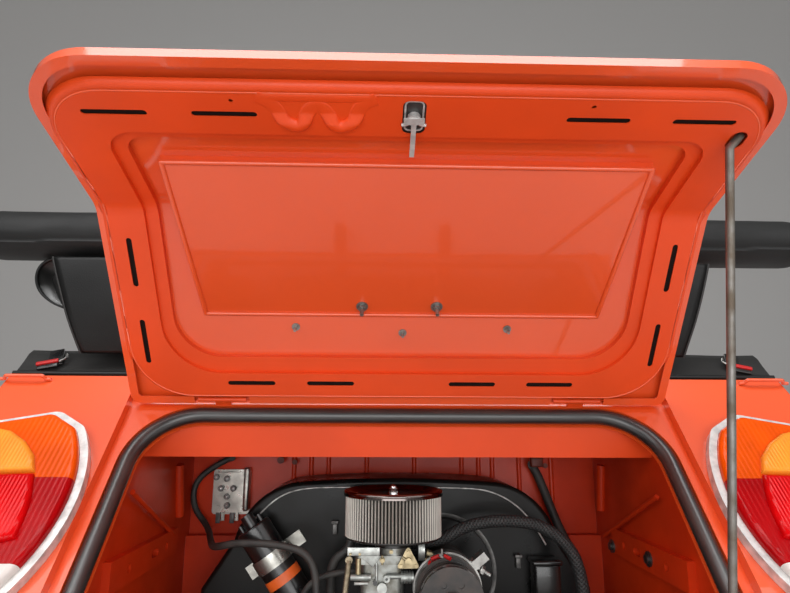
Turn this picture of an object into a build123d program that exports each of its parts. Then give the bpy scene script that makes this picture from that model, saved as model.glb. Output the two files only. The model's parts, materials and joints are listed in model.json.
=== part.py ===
from build123d import *
from math import asin, cos, pi, radians, sin, sqrt, tan
import os

# Rear section of an open-top utility car, with the engine lid raised.
# Millimetres. +X is the car's right, +Y points to its front, +Z is up.
# The origin lies on the front face of the cross member that joins this
# section to the rest of the body, level with the lid's hinge line.
# Places are written as height above the hinge line, as distance behind
# (negative) or ahead (positive) of it, and as distance from the centre.

os.makedirs("parts", exist_ok=True)

# Driving places
HINGE_Y = -350.0          # hinge line, behind the mounting face
BAY_FRONT = 318.0         # rear face of the bulkhead, ahead of the hinge
SHEET = 1.5               # body sheet
GAP = 0.3                 # seat clearance between pieces that lie together

# Lid
LID_HALF = 435.0
LID_REACH = 320.0         # hinge to crease
LID_FREE = 570.0          # hinge to free edge, along the inner face
LID_LEAN = 35.46          # hinge-side panel, open, from the vertical
LID_FOLD = 37.01          # angle between the two panels
LID_SWING = 104.5         # open to shut
LID_DEPTH = 16.0          # outer skin to inner land
LID_RIM = 12.0            # depth of the turned rim
LID_HEM = 13.0            # width of the turned hem
LID_FREE_CORNER = 88.0
LID_HINGE_CORNER = 15.0
LID_HINGE_EDGE = -5.0
BEND_RADIUS = 34.0
AXIS_N = -8.0             # hinge axis, beyond the inner land

# Inner frame of the lid
FRAME_HALF = 421.0
FRAME_START = 11.0
FRAME_END = 528.0
WINDOW_HALF = 368.0
WINDOW_START = 54.0
WINDOW_END = 465.0
WELL_HALF = 350.0
WELL_START = 80.0
WELL_END = 452.0
WELL_DEPTH = 6.0
SLOT_LENGTH = 75.0
SLOT_WIDTH = 8.0

# Number-plate pan in the lid's skin
PAN_START = 152.0
PAN_END = 412.0
PAN_HALF_START = 302.0
PAN_HALF_END = 315.0
PAN_RISE = 12.0

# Rear panel
PANEL_OUT = -10.0         # outer face, in the shut lid's depth
PANEL_TOP = -49.0
PANEL_END = 640.0
PANEL_TOP_HALF = 652.0
PANEL_END_HALF = 742.0
LID_GAP = 6.0
REBATE_FLOOR = 5.0
SEAL_DIA = 24.0
SEAL_HALF = 414.0
SEAL_START = 15.0
SEAL_END = 517.0
SEAL_N = 13.5
SEAL_CORNER = 95.0
SEAL_END_CORNER = 40.0

# Bay
WALL_X = 421.0
BAY_BOTTOM = -560.0
DECK_Z = 43.5

# Prop rod
ROD_DIA = 10.0
ROD_EYE = (394.5, 467.5)         # x and s on the open lid
ROD_KNEE_N = 9.0                 # depth of the knee below the lid's land
ROD_FOOT = (375.0, 533.6, -1.0)  # x, s and n on the rear panel
ROD_BEND = 9.0
ROD_SHANK = 24.0
ROD_TURN = 212.0                 # about its shank, from standing to stowed
ROD_STOW = 9.0                   # slope of the stowed rod towards the hinge
ROD_RISE = 0.5                   # and away from the lid
EYE_SIZE = (21.0, 29.0)

# Engine
ENGINE_X = -12.0
SHROUD_BACK = 150.0
SHROUD_FRONT = 285.0
GENERATOR_X = 76.0
GENERATOR_Z = -290.0
GENERATOR_R = 52.0
CRANK_Z = -545.0
PULLEY_Y = -22.0
CRANK_PULLEY_R = 86.0
GEN_PULLEY_R = 48.0
BELT_WIDTH = 10.0
FILTER_R = 81.0
FILTER_Y = 65.0
FILTER_TOP = -141.0
FILTER_BOTTOM = -213.0
FILTER_PAN = 3.0


def finish(part, name):
    part.label = name
    export_step(part, f"parts/{name}.step")


def at(x, y, z):
    """A point x from the centre, y ahead of and z above the hinge line."""
    return Vector(x, HINGE_Y + y, z)


def side_plane(x):
    """Sketch plane whose axes are distance ahead of and above the hinge."""
    return Plane(origin=at(x, 0, 0), x_dir=(0, 1, 0), z_dir=(1, 0, 0))


def rear_plane(y):
    """Sketch plane seen from behind the car: x to the right, z up."""
    return Plane(origin=at(0, y, 0), x_dir=(1, 0, 0), z_dir=(0, -1, 0))


def top_plane(z):
    """Level sketch plane, x to the right, y ahead of the hinge line."""
    return Plane(origin=at(0, 0, z), x_dir=(1, 0, 0), z_dir=(0, 0, 1))


class Fold:
    """Two flat panels that share a crease, with s from the hinge, n inwards."""

    def __init__(self, origin, lean):
        self.origin = origin
        a, b = radians(lean), radians(lean + LID_FOLD)
        self.d = (Vector(0, -sin(a), cos(a)), Vector(0, -sin(b), cos(b)))
        self.n = (Vector(0, -cos(a), -sin(a)), Vector(0, -cos(b), -sin(b)))

    def plane(self, side, n=0.0):
        """Sketch plane with axes x and s, at depth n; side 0 has the hinge."""
        start = self.origin + self.n[side] * n
        if side:
            start = start + (self.d[0] - self.d[1]) * LID_REACH
        return Plane(origin=start, x_dir=(1, 0, 0), z_dir=self.n[side])

    def point(self, s, n, side=None):
        """The point at s and n, in the plane of symmetry."""
        if side is None:
            side = 1 if s > LID_REACH else 0
        return self.plane(side, n).from_local_coords(Vector(0, s, 0))

    def crease(self, n):
        return self.point(LID_REACH - n * tan(radians(LID_FOLD / 2)), n, 0)


OPEN = Fold(at(0, 0, 0), LID_LEAN)
AXIS = OPEN.point(0, AXIS_N)


def swing(point, angle):
    """The point turned about the hinge axis."""
    turned = (point - AXIS).rotate(Axis.X, angle)
    return AXIS + turned


SHUT = Fold(swing(OPEN.origin, LID_SWING), LID_LEAN + LID_SWING)


def slab(fold, n0, n1, s0, s1, half, r0=0.0, r1=0.0, end_half=None):
    """A folded slab between two depths, with its four corners rounded."""
    end_half = end_half or half
    with BuildPart() as body:
        with BuildSketch(Plane.YZ) as profile:
            points = [
                fold.point(s0, n0), fold.crease(n0), fold.point(s1, n0),
                fold.point(s1, n1), fold.crease(n1), fold.point(s0, n1),
            ]
            with BuildLine():
                Polyline(*[(p.Y, p.Z) for p in points], close=True)
            make_face()
            for corner, n in ((points[1], n0), (points[4], n1)):
                near = profile.vertices().sort_by_distance(Vector(corner.Y, corner.Z, 0))[:1]
                fillet(near, max(BEND_RADIUS - n, 1.0))
        extrude(amount=max(half, end_half), both=True)
        if end_half != half:
            with BuildSketch(Plane.XZ) as outline:
                top, low = fold.point(s0, n0).Z + 60, fold.point(s1, n0).Z - 60
                slope = (end_half - half) / (fold.point(s1, n0).Z - fold.point(s0, n0).Z)
                wide_top = half + slope * 60
                wide_low = end_half - slope * 60
                Polygon((-wide_top, top), (wide_top, top), (wide_low, low), (-wide_low, low),
                        align=None)
            extrude(amount=2000, both=True, mode=Mode.INTERSECT)
        for side, radius in ((0, r0), (1, r1)):
            if radius:
                along = Axis((0, 0, 0), fold.n[side])
                ends = body.edges().filter_by(along)
                fillet(ends, radius)
    return body.part


def cut(part):
    add(part, mode=Mode.SUBTRACT)


def slot_row(centres, turned=False):
    """Slots of the lid's frame at (x, s) centres."""
    with Locations(*centres):
        SlotOverall(SLOT_LENGTH, SLOT_WIDTH, rotation=90 if turned else 0)


def tube_path(points, radii):
    """A line through the points with round corners."""
    with BuildLine() as path:
        FilletPolyline(*points, radius=radii)
    return path.line


def hose(points, diameter, bore=0.0, share=0.45):
    """A tube along straight runs joined by tangent arcs."""
    radii = []
    for before, here, after in zip(points, points[1:], points[2:]):
        run_in, run_out = here - before, after - here
        half_turn = radians(run_in.get_angle(run_out) / 2)
        radii.append(share * min(run_in.length, run_out.length) / tan(half_turn))
    with BuildPart() as body:
        path = tube_path(points, radii)
        with BuildSketch(Plane(origin=points[0], z_dir=points[1] - points[0])):
            Circle(diameter / 2)
            if bore:
                Circle(bore / 2, mode=Mode.SUBTRACT)
        sweep(path=path)
    return body.part, radii


# Lid hinges: three-knuckle leaves inside the lid's rim
HINGE_X = (-290.0, 290.0)
KNUCKLE_R = 4.0
PIN_R = 1.8
KNUCKLE_LENGTH = 26.0
KNUCKLE_GAP = 0.5
LEAF = 2.0
LEAF_REACH = 46.0
POCKET_HALF = 1.5 * KNUCKLE_LENGTH + 5.0


def lid_box(x, half, s0, s1, n0, n1, fold=OPEN, side=0):
    """A block on one panel of the lid or of the opening behind it."""
    with BuildPart() as body:
        with BuildSketch(fold.plane(side, n0)):
            with Locations((x, (s0 + s1) / 2)):
                Rectangle(2 * half, s1 - s0)
        extrude(amount=n1 - n0)
    return body.part


def hinge_pockets(s1, n0, n1):
    return [lid_box(x, POCKET_HALF, -9.0, s1, n0, n1) for x in HINGE_X]


# Lid skin
SKIN = 1.5
RIM_IN = LID_RIM - LID_DEPTH

with BuildPart() as lid_skin:
    edge = (LID_HINGE_EDGE, LID_FREE, LID_HALF, LID_HINGE_CORNER, LID_FREE_CORNER)
    add(slab(OPEN, -LID_DEPTH, RIM_IN, *edge))
    s0, s1, half, r0, r1 = edge
    cut(slab(OPEN, SKIN - LID_DEPTH, RIM_IN - SKIN, s0 + SKIN, s1 - SKIN, half - SKIN,
             r0 - SKIN, r1 - SKIN))
    cut(slab(OPEN, RIM_IN - 2 * SKIN, RIM_IN + SKIN, s0 + LID_HEM, s1 - LID_HEM,
             half - LID_HEM, 6, r1 - LID_HEM))
    # Pan for the number plate: a flat face across the crease, with sloped walls
    pan_low = OPEN.point(PAN_START, -LID_DEPTH + SKIN)
    pan_high = OPEN.point(PAN_END, -LID_DEPTH + SKIN + PAN_RISE)
    pan_dir = (pan_high - pan_low).normalized()
    pan_n = Vector(0, -pan_dir.Z, pan_dir.Y)
    pan_length = (pan_high - pan_low).length
    pan_face = Plane(origin=pan_low, x_dir=(1, 0, 0), z_dir=pan_n)
    PAN_DEEP = 130.0

    def pan_plug(offset, spread):
        """Block behind the pan's face; its walls spread outwards."""
        with BuildPart(mode=Mode.PRIVATE) as plug:
            for level, grow in ((offset, 0.0), (offset - PAN_DEEP, spread)):
                with BuildSketch(pan_face.offset(level)):
                    w0, w1 = PAN_HALF_START + grow, PAN_HALF_END + grow
                    Polygon((-w0, -grow / 3), (w0, -grow / 3), (w1, pan_length + grow),
                            (-w1, pan_length + grow), align=None)
            loft()
        return plug.part

    pan_outer = pan_plug(0.0, 42.0)
    pan_inner = pan_plug(-SKIN, 42.0)
    below = slab(OPEN, -LID_DEPTH, 40.0, PAN_START - 90, PAN_END + 90, PAN_HALF_END + 80)
    add(pan_outer.intersect(below))
    cut(pan_inner)
    for pocket in hinge_pockets(8.0, SKIN - LID_DEPTH, 2.0):
        cut(pocket)
    # Hole for the lock's barrel
    with BuildSketch(OPEN.plane(1, -LID_DEPTH - 1)):
        with Locations((0, 496)):
            Circle(10)
    extrude(amount=SKIN + 2, mode=Mode.SUBTRACT)
finish(lid_skin.part, "lid_skin")

# Lid frame: a pressed ring under the skin
FRAME_SHEET = 1.5
with BuildPart() as lid_frame:
    top = 0.0
    seat = SKIN - LID_DEPTH
    ring = (FRAME_START, FRAME_END, FRAME_HALF, 90.0, 75.0)
    window = (WINDOW_START, WINDOW_END, WINDOW_HALF, 85.0, 35.0)
    well = (WELL_START, WELL_END, WELL_HALF, 70.0, 26.0)

    def inset(shape, by):
        a, b, half, r0, r1 = shape
        return (a + by, b - by, half - by, max(r0 - by, 3.0), max(r1 - by, 3.0))

    add(slab(OPEN, seat, top, *ring))
    cut(slab(OPEN, -WELL_DEPTH, top + 5, *window))
    cut(slab(OPEN, seat - 1, top + 5, *well))
    hollow = slab(OPEN, seat - 1, -WELL_DEPTH - FRAME_SHEET, *inset(ring, FRAME_SHEET))
    hollow_top = slab(OPEN, seat - 1, top - FRAME_SHEET, *inset(ring, FRAME_SHEET))
    keep_well = slab(OPEN, seat - 2, top + 6, *inset(well, -FRAME_SHEET))
    keep_window = slab(OPEN, -WELL_DEPTH - FRAME_SHEET, top + 6, *inset(window, -FRAME_SHEET))
    cut((hollow_top - keep_window) - keep_well)
    cut(hollow - keep_well)
    # Slots
    with BuildSketch(OPEN.plane(0, -3)):
        slot_row([(x, 36) for x in (-238.6, -113.4, 113.4, 238.6)])
        slot_row([(x, s) for x in (-395.5, 395.5) for s in (109.0, 238.3)], turned=True)
    extrude(amount=8, mode=Mode.SUBTRACT)
    with BuildSketch(OPEN.plane(1, -3)):
        slot_row([(x, 496) for x in (-341.7, -216.4, 216.4, 341.7)])
        with Locations((-205, 516), (205, 516)):
            Circle(2.5)
        # Lock opening
        with Locations((1.5, 495)):
            RectangleRounded(27, 50, 8)
        # Eye of the prop rod
        with Locations(ROD_EYE):
            RectangleRounded(*EYE_SIZE, EYE_SIZE[0] / 2 - 0.1)
    extrude(amount=8, mode=Mode.SUBTRACT)
    for x in HINGE_X:
        cut(lid_box(x, KNUCKLE_LENGTH * 1.5 + 1, FRAME_START - 2, FRAME_START + 3,
                    seat - 1, AXIS_N - KNUCKLE_R + 1.4))
        cut(lid_box(x, POCKET_HALF, -9, 8, seat, 2))
finish(lid_frame.part, "lid_frame")

# Lid lock: a cup behind the opening, a bow across it and a hanging tongue
with BuildPart() as lid_lock:
    with BuildSketch(OPEN.plane(1, seat + GAP)):
        with Locations((1.5, 495)):
            RectangleRounded(23, 46, 7)
    extrude(amount=LID_DEPTH - SKIN - 3.0)
    with BuildSketch(OPEN.plane(1, seat + 3)):
        with Locations((1.5, 495)):
            RectangleRounded(19, 42, 5)
    extrude(amount=20, mode=Mode.SUBTRACT)
    with BuildSketch(OPEN.plane(1, seat + 2)):
        with Locations((1.5, 494)):
            Circle(7.5)
    extrude(amount=LID_DEPTH - SKIN + 2)
    with BuildSketch(OPEN.plane(1, LID_DEPTH - SKIN + seat + 3)):
        with Locations((1.5, 494)):
            Rectangle(24, 9)
        with Locations((1.5, 467)):
            Rectangle(6, 62)
    extrude(amount=2.5)
finish(lid_lock.part, "lid_lock")


def leaf_set(fold, kind):
    """Hinge leaves: kind 0 goes with the lid, kind 1 with the body."""
    with BuildPart() as leaves:
        for x in HINGE_X:
            spans = [0] if kind else [-1, 1]
            axis_plane = Plane(origin=AXIS + Vector(x, 0, 0), z_dir=(1, 0, 0))
            for k in spans:
                with BuildSketch(axis_plane.offset((k - 0.5) * KNUCKLE_LENGTH + KNUCKLE_GAP / 2)):
                    Circle(KNUCKLE_R)
                    if not kind:
                        Circle(PIN_R, mode=Mode.SUBTRACT)
                extrude(amount=KNUCKLE_LENGTH - KNUCKLE_GAP)
            if kind:
                # The pin stands out of the middle knuckle on both sides
                with BuildSketch(axis_plane.offset(-1.5 * KNUCKLE_LENGTH)):
                    Circle(PIN_R - 0.05)
                extrude(amount=3 * KNUCKLE_LENGTH)
    return leaves


with BuildPart() as lid_hinge_leaves:
    add(leaf_set(OPEN, 0).part)
    for x in HINGE_X:
        for k in (-1, 1):
            add(lid_box(x + k * KNUCKLE_LENGTH, (KNUCKLE_LENGTH - KNUCKLE_GAP) / 2, 0.0, LEAF_REACH,
                        AXIS_N - KNUCKLE_R - LEAF + 0.2, AXIS_N - KNUCKLE_R + 0.2 + 0.6))
        add(lid_box(x, KNUCKLE_LENGTH * 1.5, KNUCKLE_R + 3, LEAF_REACH,
                    AXIS_N - KNUCKLE_R - LEAF + 0.2, AXIS_N - KNUCKLE_R + 0.2))
finish(lid_hinge_leaves.part, "lid_hinge_leaves")

# Studs with washers and nuts that stand out of the plate pan and the lid
STUDS = ((-63.0, 168.0, 6.0), (51.0, 169.0, 6.0), (-166.0, 130.0, 4.2), (164.0, 129.0, 4.2),
         (0.0, 121.0, 4.2))
STUD_WASHER = 1.5


def stud_plane(s):
    """Plane of the face that a stud at s stands on."""
    if s < PAN_START:
        face = OPEN.plane(0, seat + GAP)
        return Plane(origin=face.from_local_coords(Vector(0, s, 0)), x_dir=(1, 0, 0),
                     z_dir=face.z_dir)
    up_face = (s - PAN_START) / cos(radians(OPEN.d[0].get_angle(pan_dir)))
    return Plane(origin=pan_low + pan_dir * up_face + pan_n * GAP, x_dir=(1, 0, 0), z_dir=pan_n)


with BuildPart() as lid_studs:
    for x, s, r in STUDS:
        for start, size, depth in ((0, 1.5 * r, STUD_WASHER), (0, 0.5 * r, 3.4 * r)):
            with BuildSketch(stud_plane(s).offset(start)):
                with Locations((x, 0)):
                    Circle(size)
            extrude(amount=depth)
        with BuildSketch(stud_plane(s).offset(STUD_WASHER)):
            with Locations((x, 0)):
                RegularPolygon(r, 6)
        extrude(amount=r)
finish(lid_studs.part, "lid_studs")

# Rear panel with the rebate for the lid and the shelf for the seal
OPENING = (LID_HINGE_EDGE - 2 * LID_GAP, LID_FREE + LID_GAP, LID_HALF + LID_GAP,
           LID_HINGE_CORNER - LID_GAP, LID_FREE_CORNER + LID_GAP)
SEAL_R = SEAL_DIA / 2
SEAL_BED = (SEAL_START - SEAL_R - GAP, SEAL_END + SEAL_R + GAP, SEAL_HALF + SEAL_R + GAP,
            SEAL_CORNER + SEAL_R + GAP, SEAL_END_CORNER + SEAL_R + GAP)
MOUTH = (SEAL_START + SEAL_R - 1, SEAL_END - SEAL_R + 1, SEAL_HALF - SEAL_R + 1,
         SEAL_CORNER - SEAL_R, SEAL_END_CORNER - SEAL_R)
SHELF = SEAL_N + SEAL_R + GAP
with BuildPart() as rear_panel:
    add(slab(SHUT, PANEL_OUT, PANEL_OUT + SHEET, PANEL_TOP, PANEL_END, PANEL_TOP_HALF,
             end_half=PANEL_END_HALF))
    add(slab(SHUT, PANEL_OUT, REBATE_FLOOR + SHEET, *inset(OPENING, -SHEET)))
    cut(slab(SHUT, PANEL_OUT - 5, REBATE_FLOOR, *OPENING))
    add(slab(SHUT, REBATE_FLOOR, SHELF + SHEET, *inset(SEAL_BED, -SHEET)))
    cut(slab(SHUT, REBATE_FLOOR - 1, SHELF, *SEAL_BED))
    cut(slab(SHUT, REBATE_FLOOR - 1, SHELF + SHEET + 1, *MOUTH))
finish(rear_panel.part, "rear_panel")

# Body leaves of the hinges: from the middle knuckle down to the rebate floor
with BuildPart() as body_hinge_leaves:
    add(leaf_set(SHUT, 1).part)
    for x in HINGE_X:
        add(lid_box(x, KNUCKLE_LENGTH / 2 - KNUCKLE_GAP, -LEAF / 2, LEAF / 2,
                    AXIS_N, REBATE_FLOOR - GAP, fold=SHUT))
        add(lid_box(x, KNUCKLE_LENGTH / 2 - KNUCKLE_GAP, -LEAF / 2 - 7, LEAF / 2,
                    REBATE_FLOOR - GAP - LEAF, REBATE_FLOOR - GAP, fold=SHUT))
finish(body_hinge_leaves.part, "body_hinge_leaves")

# Seal: a rubber tube on the shelf
with BuildPart() as opening_seal:
    with BuildLine() as ring_line:
        a_top = [SHUT.point(SEAL_START, SEAL_N), SHUT.crease(SEAL_N), SHUT.point(SEAL_END, SEAL_N)]
        loop = [
            Vector(-SEAL_HALF, a_top[1].Y, a_top[1].Z), Vector(-SEAL_HALF, a_top[0].Y, a_top[0].Z),
            Vector(SEAL_HALF, a_top[0].Y, a_top[0].Z), Vector(SEAL_HALF, a_top[1].Y, a_top[1].Z),
            Vector(SEAL_HALF, a_top[2].Y, a_top[2].Z), Vector(-SEAL_HALF, a_top[2].Y, a_top[2].Z),
        ]
        FilletPolyline(
            *loop, close=True,
            radius=[BEND_RADIUS - SEAL_N, SEAL_CORNER, SEAL_CORNER,
                    BEND_RADIUS - SEAL_N, SEAL_END_CORNER, SEAL_END_CORNER])
    start = ring_line.line.edges().sort_by(Axis.Z)[-1]
    with BuildSketch(Plane(origin=start @ 0.5, z_dir=start % 0.5)):
        Circle(SEAL_R)
    sweep(path=ring_line.line)
finish(opening_seal.part, "opening_seal")


# Deck ahead of the panel's top edge
PANEL_EDGE = SHUT.point(PANEL_TOP, PANEL_OUT)
EDGE_Y = PANEL_EDGE.Y - HINGE_Y
MOUNT_Y = -HINGE_Y
with BuildPart() as rear_deck:
    with BuildSketch(top_plane(PANEL_EDGE.Z)):
        with Locations((0, (EDGE_Y + 1 + MOUNT_Y) / 2 + GAP)):
            Rectangle(2 * PANEL_TOP_HALF - 2, MOUNT_Y - EDGE_Y - 1 - 2 * GAP)
    extrude(amount=-SHEET)
finish(rear_deck.part, "rear_deck")

# Outer sides of the tub, following the rear panel's fold
PANEL_LOW = SHUT.point(PANEL_END, PANEL_OUT)
SIDE_FLARE = (PANEL_END_HALF - PANEL_TOP_HALF) / (PANEL_EDGE.Z - PANEL_LOW.Z)


def tub_half(z):
    """Half the tub's width at a height."""
    return PANEL_TOP_HALF + (PANEL_EDGE.Z - z) * SIDE_FLARE


def fold_outline(n, s0, s1, front):
    """Side view of the space ahead of the folded panel at depth n."""
    rear = [SHUT.point(s0, n), SHUT.crease(n), SHUT.point(s1, n)]
    outline = [(p.Y - HINGE_Y, p.Z) for p in rear]
    return outline + [(front, outline[-1][1]), (front, outline[0][1])]


for name, side in (("side_left", -1), ("side_right", 1)):
    with BuildPart() as tub_side:
        with BuildSketch(side_plane(-800)):
            Polygon(*fold_outline(PANEL_OUT, PANEL_TOP, PANEL_END, MOUNT_Y), align=None)
        extrude(amount=1600)
        with BuildSketch(rear_plane(400)):
            z0, z1 = PANEL_EDGE.Z + 10, PANEL_LOW.Z - 10
            half0, half1 = tub_half(z0) + GAP, tub_half(z1) + GAP
            Polygon((side * half0, z0), (side * (half0 + SHEET), z0),
                    (side * (half1 + SHEET), z1), (side * half1, z1), align=None)
        extrude(amount=1000, mode=Mode.INTERSECT)
    finish(tub_side.part, name)

# Cross member, whose front face joins the rest of the body
with BuildPart() as cross_member:
    with BuildSketch(rear_plane(MOUNT_Y)):
        with Locations((0, 0)):
            Rectangle(2 * tub_half(30), 2 * 30)
    extrude(amount=MOUNT_Y - BAY_FRONT - SHEET - GAP)
    with BuildSketch(side_plane(-900)):
        with Locations(((BAY_FRONT + SHEET + MOUNT_Y) / 2, 0)):
            Rectangle(MOUNT_Y - BAY_FRONT - SHEET - 4, 56)
    extrude(amount=1800, mode=Mode.SUBTRACT)
finish(cross_member.part, "cross_member")

# Bulkhead with upright beads and a step above its lower part
LEDGE_Z = -255.0
LEDGE_DEPTH = 22.0
BEADS = (-212, -176, -140, -60, 40, 140, 176, 205, 262, 330)
with BuildPart() as bulkhead:
    with BuildSketch(rear_plane(BAY_FRONT)):
        with Locations((0, (PANEL_EDGE.Z - SHEET - GAP + LEDGE_Z) / 2)):
            Rectangle(2 * WALL_X - 2 * GAP, PANEL_EDGE.Z - SHEET - GAP - LEDGE_Z)
    extrude(amount=-SHEET)
    with BuildSketch(rear_plane(BAY_FRONT - LEDGE_DEPTH)):
        with Locations((0, (LEDGE_Z + BAY_BOTTOM) / 2)):
            Rectangle(2 * WALL_X - 2 * GAP, LEDGE_Z - BAY_BOTTOM)
        with Locations((ENGINE_X, BAY_BOTTOM)):
            Circle(165, mode=Mode.SUBTRACT)
    extrude(amount=-SHEET)
    with BuildSketch(top_plane(LEDGE_Z)):
        with Locations((0, BAY_FRONT - LEDGE_DEPTH / 2 + SHEET / 2)):
            Rectangle(2 * WALL_X - 2 * GAP, LEDGE_DEPTH + SHEET)
    extrude(amount=-SHEET)
    for x in BEADS:
        with BuildSketch(top_plane(-40)):
            with Locations((x, BAY_FRONT)):
                Circle(5)
        extrude(amount=LEDGE_Z + 50)
finish(bulkhead.part, "bulkhead")

# Side walls of the bay
WALL_N = SHELF + SHEET + 2 * GAP
for name, side in (("bay_wall_left", -1), ("bay_wall_right", 1)):
    with BuildPart() as bay_wall:
        with BuildSketch(side_plane(side * WALL_X)):
            Polygon(*fold_outline(WALL_N, PANEL_TOP + 12, 545, BAY_FRONT + SHEET), align=None)
        extrude(amount=side * SHEET)
        # Folded strip with holes, standing in from the wall
        with BuildSketch(side_plane(side * WALL_X)):
            with Locations((65, -247)):
                Rectangle(285, 44)
        extrude(amount=-side * 12)
        with BuildSketch(side_plane(side * (WALL_X - 15))):
            with Locations((-12, -247), (150, -247)):
                Circle(7)
            with Locations((95, -247)):
                SlotOverall(30, 13)
        extrude(amount=side * 40, mode=Mode.SUBTRACT)
    finish(bay_wall.part, name)

# Header: the front wall of the mouth, below the seal's top run
with BuildPart() as header:
    top_start = SHUT.point(4, WALL_N)
    top_end = SHUT.point(22, WALL_N)
    fold_in = (top_end.Y - HINGE_Y, top_end.Z)
    with BuildSketch(side_plane(-WALL_X + GAP)):
        with BuildLine():
            Polyline((top_start.Y - HINGE_Y, top_start.Z), fold_in, (34, -87), (54, -87))
            offset(amount=SHEET, side=Side.LEFT, kind=Kind.INTERSECTION)
        make_face()
    extrude(amount=2 * (WALL_X - GAP))
finish(header.part, "hinge_header")

# Apron under the lid
APRON_HEIGHT = 92.0
TAILPIPE_X = 150.0
TAILPIPE_R = 17.0
with BuildPart() as rear_apron:
    with BuildSketch(SHUT.plane(1, PANEL_OUT)):
        with Locations((0, PANEL_END + GAP + APRON_HEIGHT / 2)):
            Rectangle(2 * PANEL_END_HALF, APRON_HEIGHT)
        with Locations((-TAILPIPE_X, PANEL_END + APRON_HEIGHT), (TAILPIPE_X, PANEL_END + APRON_HEIGHT)):
            Circle(2.2 * TAILPIPE_R, mode=Mode.SUBTRACT)
    extrude(amount=SHEET)
finish(rear_apron.part, "rear_apron")

# Tail lamps
LAMP_PROUD = 14.0
LENS_PROUD = 26.0
DOME_PROUD = 34.0
BEZEL_WIDTH = 11.0
AMBER_END = 168.0
RED_END = 290.0


def lamp_block(side, n0, n1, by, keep=None, round_by=0.0):
    with BuildPart(mode=Mode.PRIVATE) as block:
        with BuildSketch(SHUT.plane(0, n0)) as face:
            with BuildLine():
                inner = ThreePointArc((-480, 70), (-441, 203), (-472, 318))
                Polyline(inner @ 1, (-500, 358), (-650, 350), (-656, 70), (-528, 40), inner @ 0)
            make_face()
            fillet(face.vertices(), 26)
            if by:
                offset(amount=-by)
        extrude(amount=n1 - n0)
        if round_by:
            outer = block.faces().sort_by(Axis((0, 0, 0), SHUT.n[0]))[0]
            fillet(outer.edges(), round_by)
        if keep:
            with BuildSketch(SHUT.plane(0, n0 - 20)):
                with Locations((-550, (keep[0] + keep[1]) / 2)):
                    Rectangle(400, keep[1] - keep[0])
            extrude(amount=100, mode=Mode.INTERSECT)
    part = block.part
    return part if side < 0 else part.mirror(Plane.YZ)


LAMP_BASE = PANEL_OUT - GAP
with BuildPart() as lamp_bezels:
    for side in (-1, 1):
        add(lamp_block(side, LAMP_BASE - LAMP_PROUD, LAMP_BASE, 0))
        cut(lamp_block(side, LAMP_BASE - 40, LAMP_BASE + 5, BEZEL_WIDTH))
finish(lamp_bezels.part, "lamp_bezels")

for name, low, high in (("lamp_amber", 0, AMBER_END), ("lamp_red", AMBER_END + GAP, RED_END),
                        ("lamp_clear", RED_END + GAP, 400)):
    with BuildPart() as lens:
        for side in (-1, 1):
            add(lamp_block(side, LAMP_BASE - LENS_PROUD, LAMP_BASE, BEZEL_WIDTH + GAP,
                           keep=(low, high), round_by=8))
    finish(lens.part, name)

# Tie loops on the rear panel
LOOP_X = 622.0
LOOP_S = -38.0
with BuildPart() as tie_loops:
    for side in (-1, 1):
        x = side * LOOP_X
        feet = [(x - 34, LAMP_BASE - 3), (x - 30, LAMP_BASE - 11), (x + 30, LAMP_BASE - 11),
                (x + 34, LAMP_BASE - 3)]
        points = [SHUT.point(LOOP_S, n) + Vector(px, 0, 0) for px, n in feet]
        points = [points[0] + Vector(-8, 0, 0)] + points + [points[-1] + Vector(8, 0, 0)]
        with BuildLine() as loop_line:
            FilletPolyline(*points, radius=[3, 4, 4, 3])
        with BuildSketch(Plane(origin=points[0], z_dir=points[1] - points[0])):
            Circle(3)
        sweep(path=loop_line.line)
finish(tie_loops.part, "tie_loops")

# Folded soft top: skirt along the deck, stack and roll above it
SKIRT_HALF = 664.0
BOW_X = 430.0
BOW_T = 6.0
with BuildPart() as top_skirt:
    with BuildSketch(side_plane(-SKIRT_HALF)):
        Polygon((52, DECK_Z + GAP), (62, DECK_Z + GAP), (112, 92), (160, 62), (170, 62), (112, 98),
                (100, 96), align=None)
        with Locations((57, DECK_Z + GAP + 5)):
            Circle(5)
    extrude(amount=2 * SKIRT_HALF)
    with BuildSketch(top_plane(DECK_Z)):
        with Locations((-BOW_X, 118), (BOW_X, 118)):
            Rectangle(BOW_T + 2, 34)
    extrude(amount=100, mode=Mode.SUBTRACT)
finish(top_skirt.part, "top_skirt")

ROLL_R = 46.0
ROLL_Z = 296.0
ROLL_Y = 62.0
ROLL_HALF = 748.0
with BuildPart() as top_roll:
    with BuildSketch(side_plane(-ROLL_HALF)):
        with Locations((ROLL_Y, ROLL_Z)):
            Ellipse(ROLL_R * 1.15, ROLL_R)
    extrude(amount=2 * ROLL_HALF)
    fillet(top_roll.edges(), 30)
finish(top_roll.part, "top_roll")

STACK_TOP = ROLL_Z - ROLL_R - GAP
STACK_Y = 92.0
with BuildPart() as top_stack:
    with BuildSketch(side_plane(-655)) as stack_side:
        with Locations((STACK_Y, (STACK_TOP + 112) / 2)):
            Rectangle(130, STACK_TOP - 112)
        fillet(stack_side.vertices(), 40)
    extrude(amount=655 + 525)
    fillet(top_stack.edges().filter_by(GeomType.CIRCLE) + top_stack.edges().filter_by(
        GeomType.LINE).filter_by(Axis.X, reverse=True), 18)
finish(top_stack.part, "top_stack")

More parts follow.
